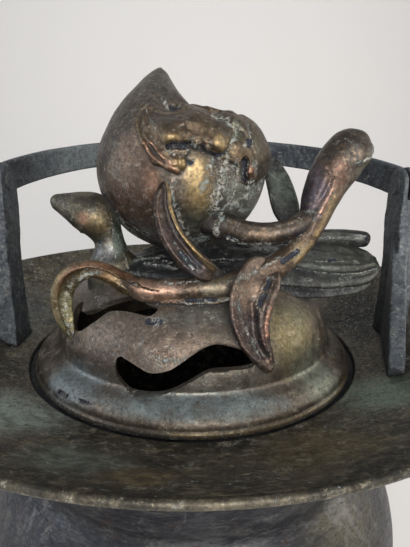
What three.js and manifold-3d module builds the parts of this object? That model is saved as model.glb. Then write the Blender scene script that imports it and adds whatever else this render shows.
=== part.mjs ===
// Hanging incense burner in cast bronze: a round bowl under a wide brim plate, a pierced dome lid
// crowned by a peach on its branch, and a strap bail between two posts, with a hanging ring.
// Millimetres, +Z up, origin under the middle of the foot. The bail's hinge runs along X.
// The viewer of the front stands at -Y.
import * as THREE from "three";
import { mergeVertices } from "three/addons/utils/BufferGeometryUtils.js";
import Module from "manifold-3d";

const wasm = await Module();
wasm.setup();

// Gaps
const SEAM = 0.3; // brazed or resting faces
const RUNNING = 0.35; // turning and sliding faces

// Lid
const LID_RADIUS = 80;
const LID_WALL = 2.4;
const LID_ROLL_HEIGHT = 12.5; // flange roll above the seat
const FLANGE_REACH = 11.2; // flange beyond the dome's foot
const DOME_HEIGHT = 52; // crown above the seat

// Bowl
const FOOT_RADIUS = 46;
const FOOT_HEIGHT = 12;
const FOOT_WALL = 5;
const FOOT_WAIST = 2; // the foot ring draws in this much under the bowl
const BOWL_RADIUS = 110;
const BOWL_HALF_HEIGHT = 86;
const BOWL_WALL = 3.6;
const NECK_HEIGHT = 41; // from the shoulder up to the seat
const NECK_FILLET = 8;
const SEAT_THICKNESS = 5;
const LID_LAND = 8; // ring of the seat under the lid's flange
const LINER_SEAT_DROP = 9; // below the lid's seat
const LINER_SEAT_THICKNESS = 3;

// Brim plate
const PLATE_RADIUS = 139.3;
const PLATE_GAP = 4.5; // open ring round the lid
const PLATE_LAND = 3.5; // ring of the plate that rests on the neck
const PLATE_RISE = 28.5;
const PLATE_THICKNESS = 2;
const PLATE_LIP = 1.5; // rounded edge of the rim

// Ash liner
const LINER_FLANGE_GAP = 6; // inside the dome's mouth
const LINER_FLANGE = 7;
const LINER_SLACK = 1; // round the cup in its seat
const LINER_DEPTH = 62;
const LINER_WALL = 1.4;
const LINER_BEND = 17; // radius from the wall to the floor

// Peach
const PEACH_CENTRE = [-6, 2, 45]; // above the dome's crown
const PEACH_LEAN_LEFT = 14; // degrees from upright
const PEACH_LEAN_BACK = 7;
const PEACH_WALL = 4;
const STUD_PLACE = [-4, 4];
const STUD_HOLE_TOP = 18; // above the crown
const STUD_RADIUS = 5;
const STUD_HEAD = 3.5; // beyond the stud
const STUD_HEAD_THICKNESS = 2.5;
const WASHER_REACH = 6; // beyond the stud
const WASHER_THICKNESS = 1.6;
const WASHER_SAG = 1.6; // the dome's inner face falls this much at the washer's edge

// Posts and bail
const HANDLE_SHIFT = 5; // the posts stand a little to the right of the lid's axis
const BAIL_RADIUS = 98.5; // inner face of the strap
const STRAP_THICKNESS = 3.5;
const STRAP_WIDTH = 15;
const STRAP_EYE_RADIUS = 9;
const PIVOT_HEIGHT = 86.5; // above the lid's seat
const REST_ANGLE = 10.9; // degrees of the folded bail above level
const POST_CHEEK = 2.6;
const POST_WIDTH = 22;
const POST_NECK_WIDTH = 17;
const POST_NECK_HEIGHT = 24; // from the shoulder to the pivot
const POST_FOOT_FLARE = 2;
const POST_FLARE_HEIGHT = 14;
const POST_BEVEL = 1;
const LEAF_ROOM = 3; // from the right post's face to the leaves' ends
const TENON_RADIUS = 3.4;
const TENON_HEAD = 3; // beyond the tenon
const TENON_HEAD_THICKNESS = 2.4;
const PIN_RADIUS = 3;
const PIN_HEAD = 0.8; // beyond the pin
const PIN_HEAD_THICKNESS = 0.8;

// Brace cast on the right post, running forward along the brim
const BRACE_THICKNESS = 7;
const BRACE_REACH = 51;
const BRACE_HEIGHT = 60;
const BRACE_TOE_HEIGHT = 12;
const BRACE_ANGLE = 20; // degrees from straight forward towards the lid

// Hanging swivel
const SHANK_RADIUS = 3;
const SHANK_HEAD = 1.6; // beyond the shank
const SHANK_HEAD_THICKNESS = 1.8;
const SHANK_WASHER = 3; // beyond the shank
const SHANK_WASHER_THICKNESS = 1.2;
const EYE_WALL = 2.5;
const EYE_BORE_RADIUS = 3.5;
const EYE_THICKNESS = 5;
const EYE_NECK = 3; // from the strap to the eye's edge
const RING_RADIUS = 16;
const RING_WIRE_RADIUS = 2.2;

// Resolution
const ROUND = 32;
const SMALL_ROUND = 16;

// Sizes that follow
const DOME_FOOT_RADIUS = LID_RADIUS - FLANGE_REACH;
const MOUTH_RADIUS = DOME_FOOT_RADIUS - LID_WALL;
const SEAT_BORE_RADIUS = LID_RADIUS - LID_LAND;
const PLATE_BORE_RADIUS = LID_RADIUS + PLATE_GAP;
const NECK_RADIUS = PLATE_BORE_RADIUS + PLATE_LAND;
const LINER_FLANGE_RADIUS = MOUTH_RADIUS - LINER_FLANGE_GAP;
const LINER_RADIUS = LINER_FLANGE_RADIUS - LINER_FLANGE;
const FOOT_NECK_RADIUS = FOOT_RADIUS - FOOT_WAIST;
const spheroidHeight = (r) => BOWL_HALF_HEIGHT * Math.sqrt(1 - (r / BOWL_RADIUS) ** 2);
const BOWL_CENTRE = FOOT_HEIGHT + spheroidHeight(FOOT_NECK_RADIUS);
const SHOULDER = BOWL_CENTRE + spheroidHeight(NECK_RADIUS);
const SEAT = SHOULDER + NECK_HEIGHT; // underside of the lid's flange and of the brim plate
const CROWN = SEAT + DOME_HEIGHT;
const PIVOT = SEAT + PIVOT_HEIGHT;

const radians = THREE.MathUtils.degToRad;
const vector = ([x, y, z]) => new THREE.Vector3(x, y, z);
const aboveCrown = ([x, y, z]) => new THREE.Vector3(x, y, CROWN + z);

// Closed meshes and manifold-3d solids

function solid(geometry) {
  const bare = geometry.clone();
  bare.deleteAttribute("normal");
  bare.deleteAttribute("uv");
  const merged = mergeVertices(bare, 1e-4);
  return new wasm.Manifold(
    new wasm.Mesh({
      numProp: 3,
      vertProperties: new Float32Array(merged.attributes.position.array),
      triVerts: new Uint32Array(merged.index.array),
    }),
  );
}

// The largest body of a cut solid: the slivers beyond a neighbour are dropped.
function largest(shape) {
  return shape.decompose().sort((a, b) => b.volume() - a.volume())[0];
}

function cut(shape, ...tools) {
  return largest(tools.reduce((rest, tool) => rest.subtract(tool), shape));
}

function join(...shapes) {
  return shapes.reduce((all, shape) => all.add(shape));
}

function geometryOf(shape) {
  const mesh = shape.getMesh();
  const geometry = new THREE.BufferGeometry();
  geometry.setAttribute("position", new THREE.BufferAttribute(mesh.vertProperties, 3));
  geometry.setIndex(new THREE.BufferAttribute(mesh.triVerts, 1));
  return geometry;
}

// Solid of revolution about Z. The profile is [radius, height] pairs, up the outside.
function turned(profile, segments = ROUND) {
  const points = profile.map(([r, z]) => new THREE.Vector2(r, z));
  const geometry = new THREE.LatheGeometry(points, segments);
  geometry.rotateX(Math.PI / 2);
  return solid(geometry);
}

function rod(radius, from, to, segments = SMALL_ROUND) {
  const start = vector(from);
  const along = vector(to).sub(start);
  const geometry = new THREE.CylinderGeometry(radius, radius, along.length(), segments);
  geometry.translate(0, along.length() / 2, 0);
  const up = new THREE.Vector3(0, 1, 0);
  geometry.applyQuaternion(new THREE.Quaternion().setFromUnitVectors(up, along.clone().normalize()));
  geometry.translate(start.x, start.y, start.z);
  return solid(geometry);
}

// Skin over a row of rings with equally many points, closed by a fan at each end.
function loft(rings) {
  const count = rings[0].length;
  const positions = rings.flat().flatMap((p) => [p.x, p.y, p.z]);
  const index = [];
  for (let i = 0; i + 1 < rings.length; i++) {
    for (let j = 0; j < count; j++) {
      const a = i * count + j;
      const b = i * count + ((j + 1) % count);
      index.push(a, b, b + count, a, b + count, a + count);
    }
  }
  for (const end of [0, rings.length - 1]) {
    const middle = positions.length / 3;
    const centre = rings[end].reduce((sum, p) => sum.add(p), new THREE.Vector3()).divideScalar(count);
    positions.push(centre.x, centre.y, centre.z);
    for (let j = 0; j < count; j++) {
      const a = end * count + j;
      const b = end * count + ((j + 1) % count);
      index.push(...(end ? [middle, a, b] : [middle, b, a]));
    }
  }
  const geometry = new THREE.BufferGeometry();
  geometry.setAttribute("position", new THREE.Float32BufferAttribute(positions, 3));
  geometry.setIndex(index);
  return solid(geometry);
}

// Value between the rows of stations, smoothly.
function smooth(values, t) {
  const curve = new THREE.SplineCurve(values.map((v, i) => new THREE.Vector2(i, v)));
  return curve.getPoint(t).y;
}

// Point of a spine, pushed outwards at its two ends.
function spinePoint(spine, i, steps, grow) {
  const t = i / steps;
  const push = i === 0 ? -grow : i === steps ? grow : 0;
  return spine.getPointAt(t).addScaledVector(spine.getTangentAt(t), push);
}

// Round limb along stations [x, y, z, radius], heights above the crown.
function limb(stations, steps, { sides = 10, grow = 0 } = {}) {
  const spine = new THREE.CatmullRomCurve3(stations.map(aboveCrown));
  const radii = stations.map((s) => s[3]);
  const frames = spine.computeFrenetFrames(steps, false);
  const rings = [];
  for (let i = 0; i <= steps; i++) {
    const centre = spinePoint(spine, i, steps, grow);
    const radius = smooth(radii, spine.getUtoTmapping(i / steps)) + grow;
    const ring = [];
    for (let j = 0; j < sides; j++) {
      const angle = (2 * Math.PI * j) / sides;
      const point = centre.clone().addScaledVector(frames.normals[i], radius * Math.cos(angle));
      ring.push(point.addScaledVector(frames.binormals[i], radius * Math.sin(angle)));
    }
    rings.push(ring);
  }
  return loft(rings);
}

// Leaf blade along stations [x, y, z, half width], heights above the crown. Its face looks along
// the face vectors, and it is cupped by an angle in degrees, with its rims towards the face.
function blade(stations, steps, { faces, cup, thickness, rim = 1, grow = 0 }) {
  const spine = new THREE.CatmullRomCurve3(stations.map(aboveCrown));
  const widths = stations.map((s) => s[3]);
  const rings = [];
  for (let i = 0; i <= steps; i++) {
    const t = i / steps;
    const along = spine.getTangentAt(t);
    const face = vector(faces[0]).lerp(vector(faces[1]), t);
    face.addScaledVector(along, -face.dot(along)).normalize();
    const side = face.clone().cross(along);
    const half = smooth(widths, spine.getUtoTmapping(t)) + grow;
    const centre = spinePoint(spine, i, steps, grow);
    rings.push(bladeSection({ centre, side, face, half, thick: thickness / 2 + grow, cup: radians(cup), rim }));
  }
  return loft(rings);
}

function bladeSection({ centre, side, face, half, thick, cup, rim }) {
  const across = [-1, -0.8, -0.3, 0.3, 0.8, 1];
  const point = (u, lift) => {
    const angle = cup * u;
    const flat = (half * Math.sin(angle)) / cup - lift * Math.sin(angle);
    const rise = (half * (1 - Math.cos(angle))) / cup + lift * Math.cos(angle);
    return centre.clone().addScaledVector(side, flat).addScaledVector(face, rise);
  };
  const thickAt = (u) => thick * (Math.abs(u) > 0.6 ? rim : 1);
  const lower = across.map((u) => point(u, Math.abs(u) === 1 ? 0 : -thickAt(u)));
  const upper = across.slice(1, -1).map((u) => point(u, thickAt(u)));
  return [...lower, ...upper.reverse()];
}

// Bowl

function spheroid(radius, half, fromAngle, toAngle, steps) {
  const points = [];
  for (let i = 0; i <= steps; i++) {
    const angle = fromAngle + ((toAngle - fromAngle) * i) / steps;
    points.push([radius * Math.cos(angle), BOWL_CENTRE + half * Math.sin(angle)]);
  }
  return points;
}

function bowl() {
  const innerRadius = BOWL_RADIUS - BOWL_WALL;
  const innerHalf = BOWL_HALF_HEIGHT - BOWL_WALL;
  const footInner = FOOT_NECK_RADIUS - FOOT_WALL;
  const neckInner = NECK_RADIUS - BOWL_WALL;
  const linerBore = LINER_RADIUS + LINER_SLACK;
  const top = SEAT - SEAM;
  const linerSeat = top - LINER_SEAT_DROP;
  const under = linerSeat - LINER_SEAT_THICKNESS;
  const bottom = -Math.PI / 2;
  const outerAngle = (r) => Math.acos(r / BOWL_RADIUS);
  return turned([
    ...spheroid(BOWL_RADIUS, BOWL_HALF_HEIGHT, bottom, -outerAngle(footInner), 2),
    [footInner, 1],
    [footInner + 1, 0],
    [FOOT_RADIUS, 0],
    [FOOT_RADIUS + 0.5, 2],
    ...spheroid(BOWL_RADIUS, BOWL_HALF_HEIGHT, -outerAngle(FOOT_NECK_RADIUS), outerAngle(NECK_RADIUS), 10),
    [NECK_RADIUS - 0.8, SHOULDER + NECK_FILLET / 2],
    [NECK_RADIUS, SHOULDER + NECK_FILLET],
    [NECK_RADIUS, top],
    [SEAT_BORE_RADIUS, top],
    [SEAT_BORE_RADIUS, linerSeat],
    [linerBore, linerSeat],
    [linerBore, under],
    [SEAT_BORE_RADIUS, under - SEAT_THICKNESS / 2],
    [neckInner, under - SEAT_THICKNESS * 2],
    ...spheroid(innerRadius, innerHalf, Math.acos(neckInner / innerRadius), bottom, 9),
  ]);
}

// Brim plate: level at its bore, rising to the rim in a shallow dish.

function plateHeight(r) {
  const t = THREE.MathUtils.clamp((r - PLATE_BORE_RADIUS) / (PLATE_RADIUS - PLATE_BORE_RADIUS), 0, 1);
  return PLATE_RISE * (0.35 * t * t + 0.65 * t);
}

const PLATE_SHARES = [0, PLATE_LAND / (PLATE_RADIUS - PLATE_BORE_RADIUS), 0.3, 0.65, 1];
const PLATE_RADII = PLATE_SHARES.map((t) => PLATE_BORE_RADIUS + t * (PLATE_RADIUS - PLATE_BORE_RADIUS));
const PLATE_ROUND = 1.5 * ROUND;

// Profile of a face of the plate, lifted or lowered by an offset.
const plateFace = (offset) => PLATE_RADII.map((r) => [r, SEAT + plateHeight(r) + offset]);

function brimPlate() {
  const under = plateFace(0);
  const over = plateFace(PLATE_THICKNESS).slice(0, -1).reverse();
  const rim = SEAT + PLATE_RISE + PLATE_THICKNESS;
  const edge = [
    [PLATE_RADIUS, rim - PLATE_LIP / 3],
    [PLATE_RADIUS - PLATE_LIP / 2, rim],
  ];
  const plate = turned([...under, ...edge, ...over, under[0]], PLATE_ROUND);
  return cut(plate, tenonHole(-1), tenonHole(1));
}

function tenonHole(side) {
  const { x } = postPlace(side);
  return rod(TENON_RADIUS + RUNNING, [x, 0, SEAT - PLATE_RISE], [x, 0, SEAT + 2 * PLATE_RISE]);
}

// All that lies under the plate's upper face, and all that lies over its lower one, with the seam.
function belowPlate() {
  const floor = SEAT - 2 * PLATE_RISE;
  const face = plateFace(PLATE_THICKNESS + SEAM).reverse();
  return turned([[0, floor], [PLATE_RADIUS, floor], ...face, [0, face.at(-1)[1]]], PLATE_ROUND);
}

function abovePlate() {
  const ceiling = SEAT + 2 * PLATE_RISE;
  const face = plateFace(-SEAM);
  return turned([[0, face[0][1]], ...face, [PLATE_RADIUS, ceiling], [0, ceiling]], PLATE_ROUND);
}

// Ash liner: a thin cup hung by its flange from the seat in the neck.

function ashLiner() {
  const under = SEAT - LINER_SEAT_DROP;
  const floor = under - LINER_DEPTH;
  const corner = (radius, height) => {
    const points = [];
    for (const angle of [-90, -55, -20, 0]) {
      const [c, s] = [Math.cos(radians(angle)), Math.sin(radians(angle))];
      points.push([LINER_RADIUS - LINER_BEND + radius * c, floor + LINER_BEND + height * s]);
    }
    return points;
  };
  const inner = LINER_BEND - LINER_WALL;
  return turned([
    [0, floor],
    ...corner(LINER_BEND, LINER_BEND),
    [LINER_RADIUS, under],
    [LINER_FLANGE_RADIUS, under],
    [LINER_FLANGE_RADIUS, under + LINER_WALL],
    [LINER_RADIUS - LINER_WALL, under + LINER_WALL],
    ...corner(inner, inner).reverse(),
    [0, floor + LINER_WALL],
  ]);
}

// Lid: a dome on a rolled flange, pierced by cloud-shaped openings.

// Shares of the dome's foot radius, and of its rise above the roll.
const DOME_CROWN = [
  [1, 0],
  [0.985, 0.2],
  [0.925, 0.43],
  [0.81, 0.64],
  [0.65, 0.81],
  [0.45, 0.93],
  [0.22, 0.985],
  [0, 1],
];

// The flange's roll: how far in from its edge, and how far up.
const FLANGE_ROLL = [
  [0, 2],
  [2.5, 6.2],
  [6.5, 9.7],
];

function flangeProfile(offset) {
  const roll = FLANGE_ROLL.map(([inward, height]) => [LID_RADIUS - inward + offset, SEAT + height + offset / 2]);
  return [[LID_RADIUS + offset, SEAT], ...roll];
}

function crownProfile(offset) {
  const rise = DOME_HEIGHT - LID_ROLL_HEIGHT;
  return DOME_CROWN.map(([r, z]) => [
    DOME_FOOT_RADIUS * r + (r ? offset : 0),
    SEAT + LID_ROLL_HEIGHT + rise * z + offset,
  ]);
}

// A cloud's outline lies in a plane touching the dome at an azimuth from the front, a height over
// the seat and a radius, and tilted up by a lift in degrees. It is cut straight through the wall.
const LOWER_CLOUD = {
  azimuths: [-2, 118, 238],
  radius: 68,
  height: 22,
  lift: 0,
  outline: [
    [-26, 1.4],
    [-20.5, -0.5],
    [-14.4, -2.7],
    [-6.7, -1.1],
    [0.8, 3.7],
    [6.4, 6.6],
    [11.4, 7.5],
    [19.2, 5.5],
    [24, 3.2],
    [26.4, -0.1],
    [22.8, -1.6],
    [15.3, -1.4],
    [7.6, -1.7],
    [0.2, -5.8],
    [-7.4, -9.8],
    [-15.1, -11.3],
    [-21.5, -11.2],
    [-25.7, -8.4],
    [-28, -4.8],
    [-27.8, 0],
  ],
};
const UPPER_CLOUD = {
  azimuths: [-38, 142],
  radius: 57,
  height: 36,
  lift: 40,
  outline: [
    [-15, -12],
    [-10, -11.2],
    [-4, -6],
    [0, -0.2],
    [4.5, 1.5],
    [9.5, 2.6],
    [18, 3.3],
    [20, 4.8],
    [20, 7.9],
    [14.4, 8.1],
    [7.4, 10.2],
    [3.3, 8.4],
    [-3.5, 3.9],
    [-10, -1.4],
    [-15.7, -3.6],
    [-18.5, -1],
    [-21, 1],
    [-23.5, -2],
    [-20, -9],
  ],
};
const CUT_INWARD = 24;
const CUT_OUTWARD = 16;

function cloudCutter({ radius, height, lift, outline }, azimuth) {
  const curve = new THREE.SplineCurve([...outline, outline[0]].map(([u, v]) => new THREE.Vector2(u, v)));
  const shape = new THREE.Shape(curve.getPoints(outline.length * 1.5).slice(0, -1));
  const geometry = new THREE.ExtrudeGeometry(shape, {
    depth: CUT_INWARD + CUT_OUTWARD,
    bevelEnabled: false,
    steps: 1,
  });
  geometry.translate(0, 0, -CUT_INWARD);
  geometry.rotateX(Math.PI / 2 - radians(lift));
  geometry.translate(0, -radius, SEAT + height);
  geometry.rotateZ(radians(azimuth));
  return solid(geometry);
}

function lidDome() {
  const outer = [...flangeProfile(0), ...crownProfile(0)];
  const inner = crownProfile(-LID_WALL).reverse();
  const shell = turned([...outer, ...inner, [MOUTH_RADIUS, SEAT], outer[0]]);
  const cutters = [LOWER_CLOUD, UPPER_CLOUD].flatMap((cloud) =>
    cloud.azimuths.map((azimuth) => cloudCutter(cloud, azimuth)),
  );
  return cut(shell, ...cutters, studHole());
}

// Solid under the dome's outer face, enlarged by the seam, which trims what lies on the lid.
function lidBlock() {
  return turned([[0, SEAT], ...flangeProfile(SEAM), ...crownProfile(SEAM)]);
}

// Peach: two profiles [along its axis, out from it], for its full side and for the cleft side.

const FULL_SIDE = [
  [44.5, 0],
  [42, 6],
  [36.6, 14.4],
  [29.9, 23.6],
  [22.4, 31],
  [12.1, 38.4],
  [0, 41.8],
  [-14, 40.5],
  [-27, 34],
  [-37, 23],
  [-43.5, 9],
  [-45, 0],
];
const CLEFT_SIDE = [
  [44.5, 0],
  [40, 3.2],
  [32, 5],
  [25, 8],
  [19.5, 14.5],
  [15, 23],
  [6, 34.5],
  [-7, 38.4],
  [-20, 36],
  [-33, 26],
  [-42.5, 10],
  [-45, 0],
];
const CLEFT_AZIMUTH = -10;
const CLEFT_WIDTH = 62;
const PEACH_AXIS = new THREE.Vector3(
  -Math.sin(radians(PEACH_LEAN_LEFT)),
  Math.sin(radians(PEACH_LEAN_BACK)),
  Math.cos(radians(PEACH_LEAN_LEFT)),
).normalize();
const PEACH_RIGHT = new THREE.Vector3(1, 0, 0).addScaledVector(PEACH_AXIS, -PEACH_AXIS.x).normalize();
const PEACH_BACK = PEACH_AXIS.clone().cross(PEACH_RIGHT);
const PEACH_MIDDLE = aboveCrown(PEACH_CENTRE);
const [FULL_CURVE, CLEFT_CURVE] = [FULL_SIDE, CLEFT_SIDE].map(
  (side) => new THREE.SplineCurve(side.map(([s, r]) => new THREE.Vector2(s, r))),
);

// Point of the peach's skin, from tip (t = 0) to base (t = 1) at an azimuth from its right side.
function peachPoint(t, azimuth, offset) {
  const away = Math.abs(THREE.MathUtils.euclideanModulo(azimuth - CLEFT_AZIMUTH + 180, 360) - 180);
  const share = 1 - THREE.MathUtils.smoothstep(away, CLEFT_WIDTH * 0.35, CLEFT_WIDTH * 1.5);
  const side = FULL_CURVE.getPoint(t).lerp(CLEFT_CURVE.getPoint(t), share);
  side.multiplyScalar(1 + offset / Math.max(side.length(), 1));
  const angle = radians(azimuth);
  return PEACH_MIDDLE.clone()
    .addScaledVector(PEACH_AXIS, side.x)
    .addScaledVector(PEACH_RIGHT, side.y * Math.cos(angle))
    .addScaledVector(PEACH_BACK, side.y * Math.sin(angle));
}

function peachBody(offset, rows = 19, columns = 26) {
  const rings = [];
  for (let i = 0; i < rows; i++) {
    const t = 0.012 + (0.976 * i) / (rows - 1);
    const ring = [];
    for (let j = 0; j < columns; j++) ring.push(peachPoint(t, (-360 * j) / columns, offset));
    rings.push(ring);
  }
  return loft(rings);
}

function studHole() {
  const [x, y] = STUD_PLACE;
  return rod(STUD_RADIUS + SEAM, [x, y, SEAT + LID_ROLL_HEIGHT], [x, y, CROWN + STUD_HOLE_TOP]);
}

function peach() {
  return cut(peachBody(0), peachBody(-PEACH_WALL, 10, 16), lidBlock(), studHole());
}

// Stud through the dome's crown, with a flange inside the peach and peened over a washer under the
// crown.

const STUD_WASHER_TOP = CROWN - LID_WALL - WASHER_SAG - SEAM;
const STUD_FLANGE_UNDER = CROWN + PEACH_WALL + 4;

function finialStud() {
  const [x, y] = STUD_PLACE;
  const headTop = STUD_WASHER_TOP - WASHER_THICKNESS - SEAM;
  const headUnder = headTop - STUD_HEAD_THICKNESS;
  const flangeTop = STUD_FLANGE_UNDER + STUD_HEAD_THICKNESS;
  const headRadius = STUD_RADIUS + STUD_HEAD;
  return join(
    rod(STUD_RADIUS, [x, y, headUnder], [x, y, flangeTop]),
    rod(headRadius, [x, y, headUnder], [x, y, headTop]),
    rod(headRadius, [x, y, STUD_FLANGE_UNDER], [x, y, flangeTop]),
  );
}

function finialWasher() {
  const [x, y] = STUD_PLACE;
  const under = STUD_WASHER_TOP - WASHER_THICKNESS;
  return cut(
    rod(STUD_RADIUS + WASHER_REACH, [x, y, under], [x, y, STUD_WASHER_TOP]),
    rod(STUD_RADIUS + SEAM, [x, y, under - WASHER_THICKNESS], [x, y, CROWN]),
  );
}

// Leaves, branch and bud. Heights are above the dome's crown.

const BRANCH = [
  [-19, -45, -6.5, 4.2],
  [-10, -47, -5.5, 4.8],
  [1, -48, -5, 4.6],
  [12, -47, -4.5, 4.8],
  [22, -44, -2.5, 5.4],
  [31, -41, 1, 5.6],
  [40, -37, 6.5, 5],
  [47, -33, 13.5, 4.8],
  [52, -30, 21.5, 5.2],
  [56, -28, 29.5, 6.4],
  [60, -26, 38.5, 8.4],
  [64, -25, 47, 10],
  [67, -24, 53, 9.4],
  [69, -24, 57.5, 5],
];
const PEACH_STALK = [
  [6, -24, 20, 6.4],
  [14, -30, 17.5, 5.6],
  [23, -34, 15.5, 4.9],
  [34, -34, 15.5, 4.8],
  [43, -33, 18, 4.8],
  [50, -31, 22, 4.4],
];
const FRONT_LEAF = [
  [2, -51, -1, 6],
  [-4, -50, 4, 5.6],
  [-9.5, -49, 10, 4.6],
  [-13, -48, 19, 3.8],
  [-14.5, -46.5, 28, 3.2],
  [-12.5, -44.5, 35, 1.4],
];
const HANGING_LEAF = [
  [25, -47, 0, 9],
  [22, -52, -8, 10.2],
  [21, -55.5, -15, 9],
  [23, -59, -22, 7],
  [26.5, -61.5, -28, 4.6],
  [30, -62.5, -33.5, 1.4],
];
const ARCHED_LEAF = [
  [-20.5, -46, -6.5, 4],
  [-28, -48, -3, 3.4],
  [-35, -48, 1.5, 3],
  [-42, -47, 2.5, 3.4],
  [-51, -45, -2, 4.2],
  [-55, -42, -9.5, 4.6],
  [-55.5, -40.5, -17, 4.2],
  [-54, -40.5, -24, 3],
  [-52, -41, -29.5, 0.8],
];
const BUD = [
  [-36, -18, -11, 11],
  [-37, -18, -5, 7.5],
  [-38, -18, 3, 6],
  [-40, -18, 12, 6.6],
  [-43, -18, 18, 9.4],
  [-48, -18, 21.5, 9.6],
  [-55, -18, 24, 6.2],
  [-60.5, -18, 25.5, 3],
  [-63.5, -18, 26, 1],
];
const REAR_LEAF = [
  [43, -22, 18, 5],
  [42, -17, 22, 7],
  [41, -12, 28, 7.6],
  [39.5, -5, 36.5, 7],
  [37, 0, 44, 4.6],
  [35.5, 2, 48, 1.4],
];
const BASE_LEAF = [
  [-30, -16, -1, 9],
  [-12, -14, 3.5, 16],
  [12, -12, 4, 19],
  [36, -8, 1, 20],
  [58, -5, -1.5, 19],
  [76, -4, -2.5, 17],
  [86, -5, -3.5, 14],
  [92, -6, -4, 8],
];
const CURLED_LEAF = [
  [50, 8, 5, 3],
  [62, 10, 7, 4.2],
  [75, 10, 7.5, 4],
  [84, 9, 7.5, 3.6],
  [91, 7, 6.5, 2.4],
];

const BASE_LEAF_THICKNESS = 3;
const ARCHED_LEAF_THICKNESS = 3.6;
const HANGING_LEAF_THICKNESS = 3;
const THIN_LEAF_THICKNESS = 2.6; // the front leaf and the rear one
const CURLED_LEAF_THICKNESS = 2.4;

const branchSolid = (grow = 0) => limb(BRANCH, 22, { grow });
const stalkSolid = (grow = 0) => limb(PEACH_STALK, 8, { grow });
const baseLeafSolid = (grow = 0) =>
  blade(BASE_LEAF, 12, { faces: [[0, -0.1, 1], [0, -0.5, 1]], cup: 12, thickness: BASE_LEAF_THICKNESS, grow });
const archedLeafSolid = (grow = 0) =>
  blade(ARCHED_LEAF, 16, {
    faces: [[0.1, -1, 0.3], [0.7, -1, 0]],
    cup: 30,
    thickness: ARCHED_LEAF_THICKNESS,
    rim: 1.2,
    grow,
  });
const frontLeafSolid = () =>
  blade(FRONT_LEAF, 9, { faces: [[0.1, -1, 0.5], [0.2, -1, 0.1]], cup: 45, thickness: THIN_LEAF_THICKNESS });
const hangingLeafSolid = () =>
  blade(HANGING_LEAF, 10, { faces: [[0.1, -1, 0.5], [0.3, -1, 0.2]], cup: 50, thickness: HANGING_LEAF_THICKNESS });
const rearLeafSolid = () =>
  blade(REAR_LEAF, 8, { faces: [[0.3, -1, 0.3], [0.4, -1, 0.2]], cup: 25, thickness: THIN_LEAF_THICKNESS });
const curledLeafSolid = () =>
  blade(CURLED_LEAF, 7, { faces: [[0, -1, 0.6], [0, -1, 0.6]], cup: 60, thickness: CURLED_LEAF_THICKNESS });

// Drape leaf: [azimuth on the peach, upper margin, lower margin], both as shares from tip to base.
const DRAPE = [
  [-112, 0.455, 0.47],
  [-109, 0.43, 0.5],
  [-105, 0.41, 0.57],
  [-100, 0.42, 0.61],
  [-95, 0.44, 0.62],
  [-91, 0.455, 0.59],
  [-88, 0.46, 0.555],
  [-84, 0.455, 0.57],
  [-78, 0.45, 0.585],
  [-72, 0.475, 0.61],
  [-66, 0.5, 0.61],
  [-60, 0.51, 0.63],
  [-52, 0.53, 0.7],
  [-44, 0.56, 0.71],
  [-36, 0.55, 0.7],
  [-20, 0.5, 0.68],
  [0, 0.48, 0.64],
  [15, 0.5, 0.56],
];
const DRAPE_EDGE = 1; // thickness just inside its margins
const DRAPE_SWELL = 4; // added over its middle
const DRAPE_SUNK = 1; // depth of the blank's underside in the peach, which trims it

function drapeLeafSolid(grow = 0) {
  const across = [0, 0.15, 0.5, 0.85, 1];
  const rings = [];
  const steps = 2 * (DRAPE.length - 1);
  for (let i = 0; i <= steps; i++) {
    const value = (column) => smooth(DRAPE.map((row) => row[column]), i / steps);
    const [azimuth, upper, lower] = [value(0), value(1), value(2)];
    const swell = DRAPE_SWELL * Math.min(1, (i + 1) / 5, (steps - i + 1) / 5);
    const height = (v) => 2 * SEAM + grow + (v % 1 ? DRAPE_EDGE + swell * Math.sin(Math.PI * v) : 0);
    const point = (v, lift) => peachPoint(upper + (lower - upper) * v, azimuth, lift);
    const top = across.map((v) => point(v, height(v)));
    const under = across.slice(1, -1).map((v) => point(v, -DRAPE_SUNK - grow));
    rings.push([...top, ...under.reverse()]);
  }
  return loft(rings);
}

// Posts

const STRAP_OUTSIDE = BAIL_RADIUS + STRAP_THICKNESS;
const STRAP_SAG = BAIL_RADIUS - Math.sqrt(BAIL_RADIUS ** 2 - (POST_WIDTH / 2) ** 2); // where it leaves the post
const SLOT_INNER = BAIL_RADIUS - STRAP_SAG - RUNNING;
const SLOT_OUTER = STRAP_OUTSIDE + RUNNING;
const POST_DEPTH = SLOT_OUTER - SLOT_INNER + 2 * POST_CHEEK;

function postPlace(side) {
  return { x: HANDLE_SHIFT + (side * (SLOT_INNER + SLOT_OUTER)) / 2 };
}

// Shape in the Y-Z plane, extruded along X and centred on x.
function acrossX(shape, x, thickness, bevel = 0) {
  const geometry = new THREE.ExtrudeGeometry(shape, {
    depth: thickness - 2 * bevel,
    bevelEnabled: bevel > 0,
    bevelSize: bevel,
    bevelThickness: bevel,
    bevelOffset: -bevel,
    bevelSegments: 1,
    curveSegments: 6,
  });
  geometry.translate(0, 0, bevel - thickness / 2);
  geometry.rotateY(Math.PI / 2);
  geometry.rotateX(Math.PI / 2);
  geometry.translate(x, 0, 0);
  return solid(geometry);
}

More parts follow.
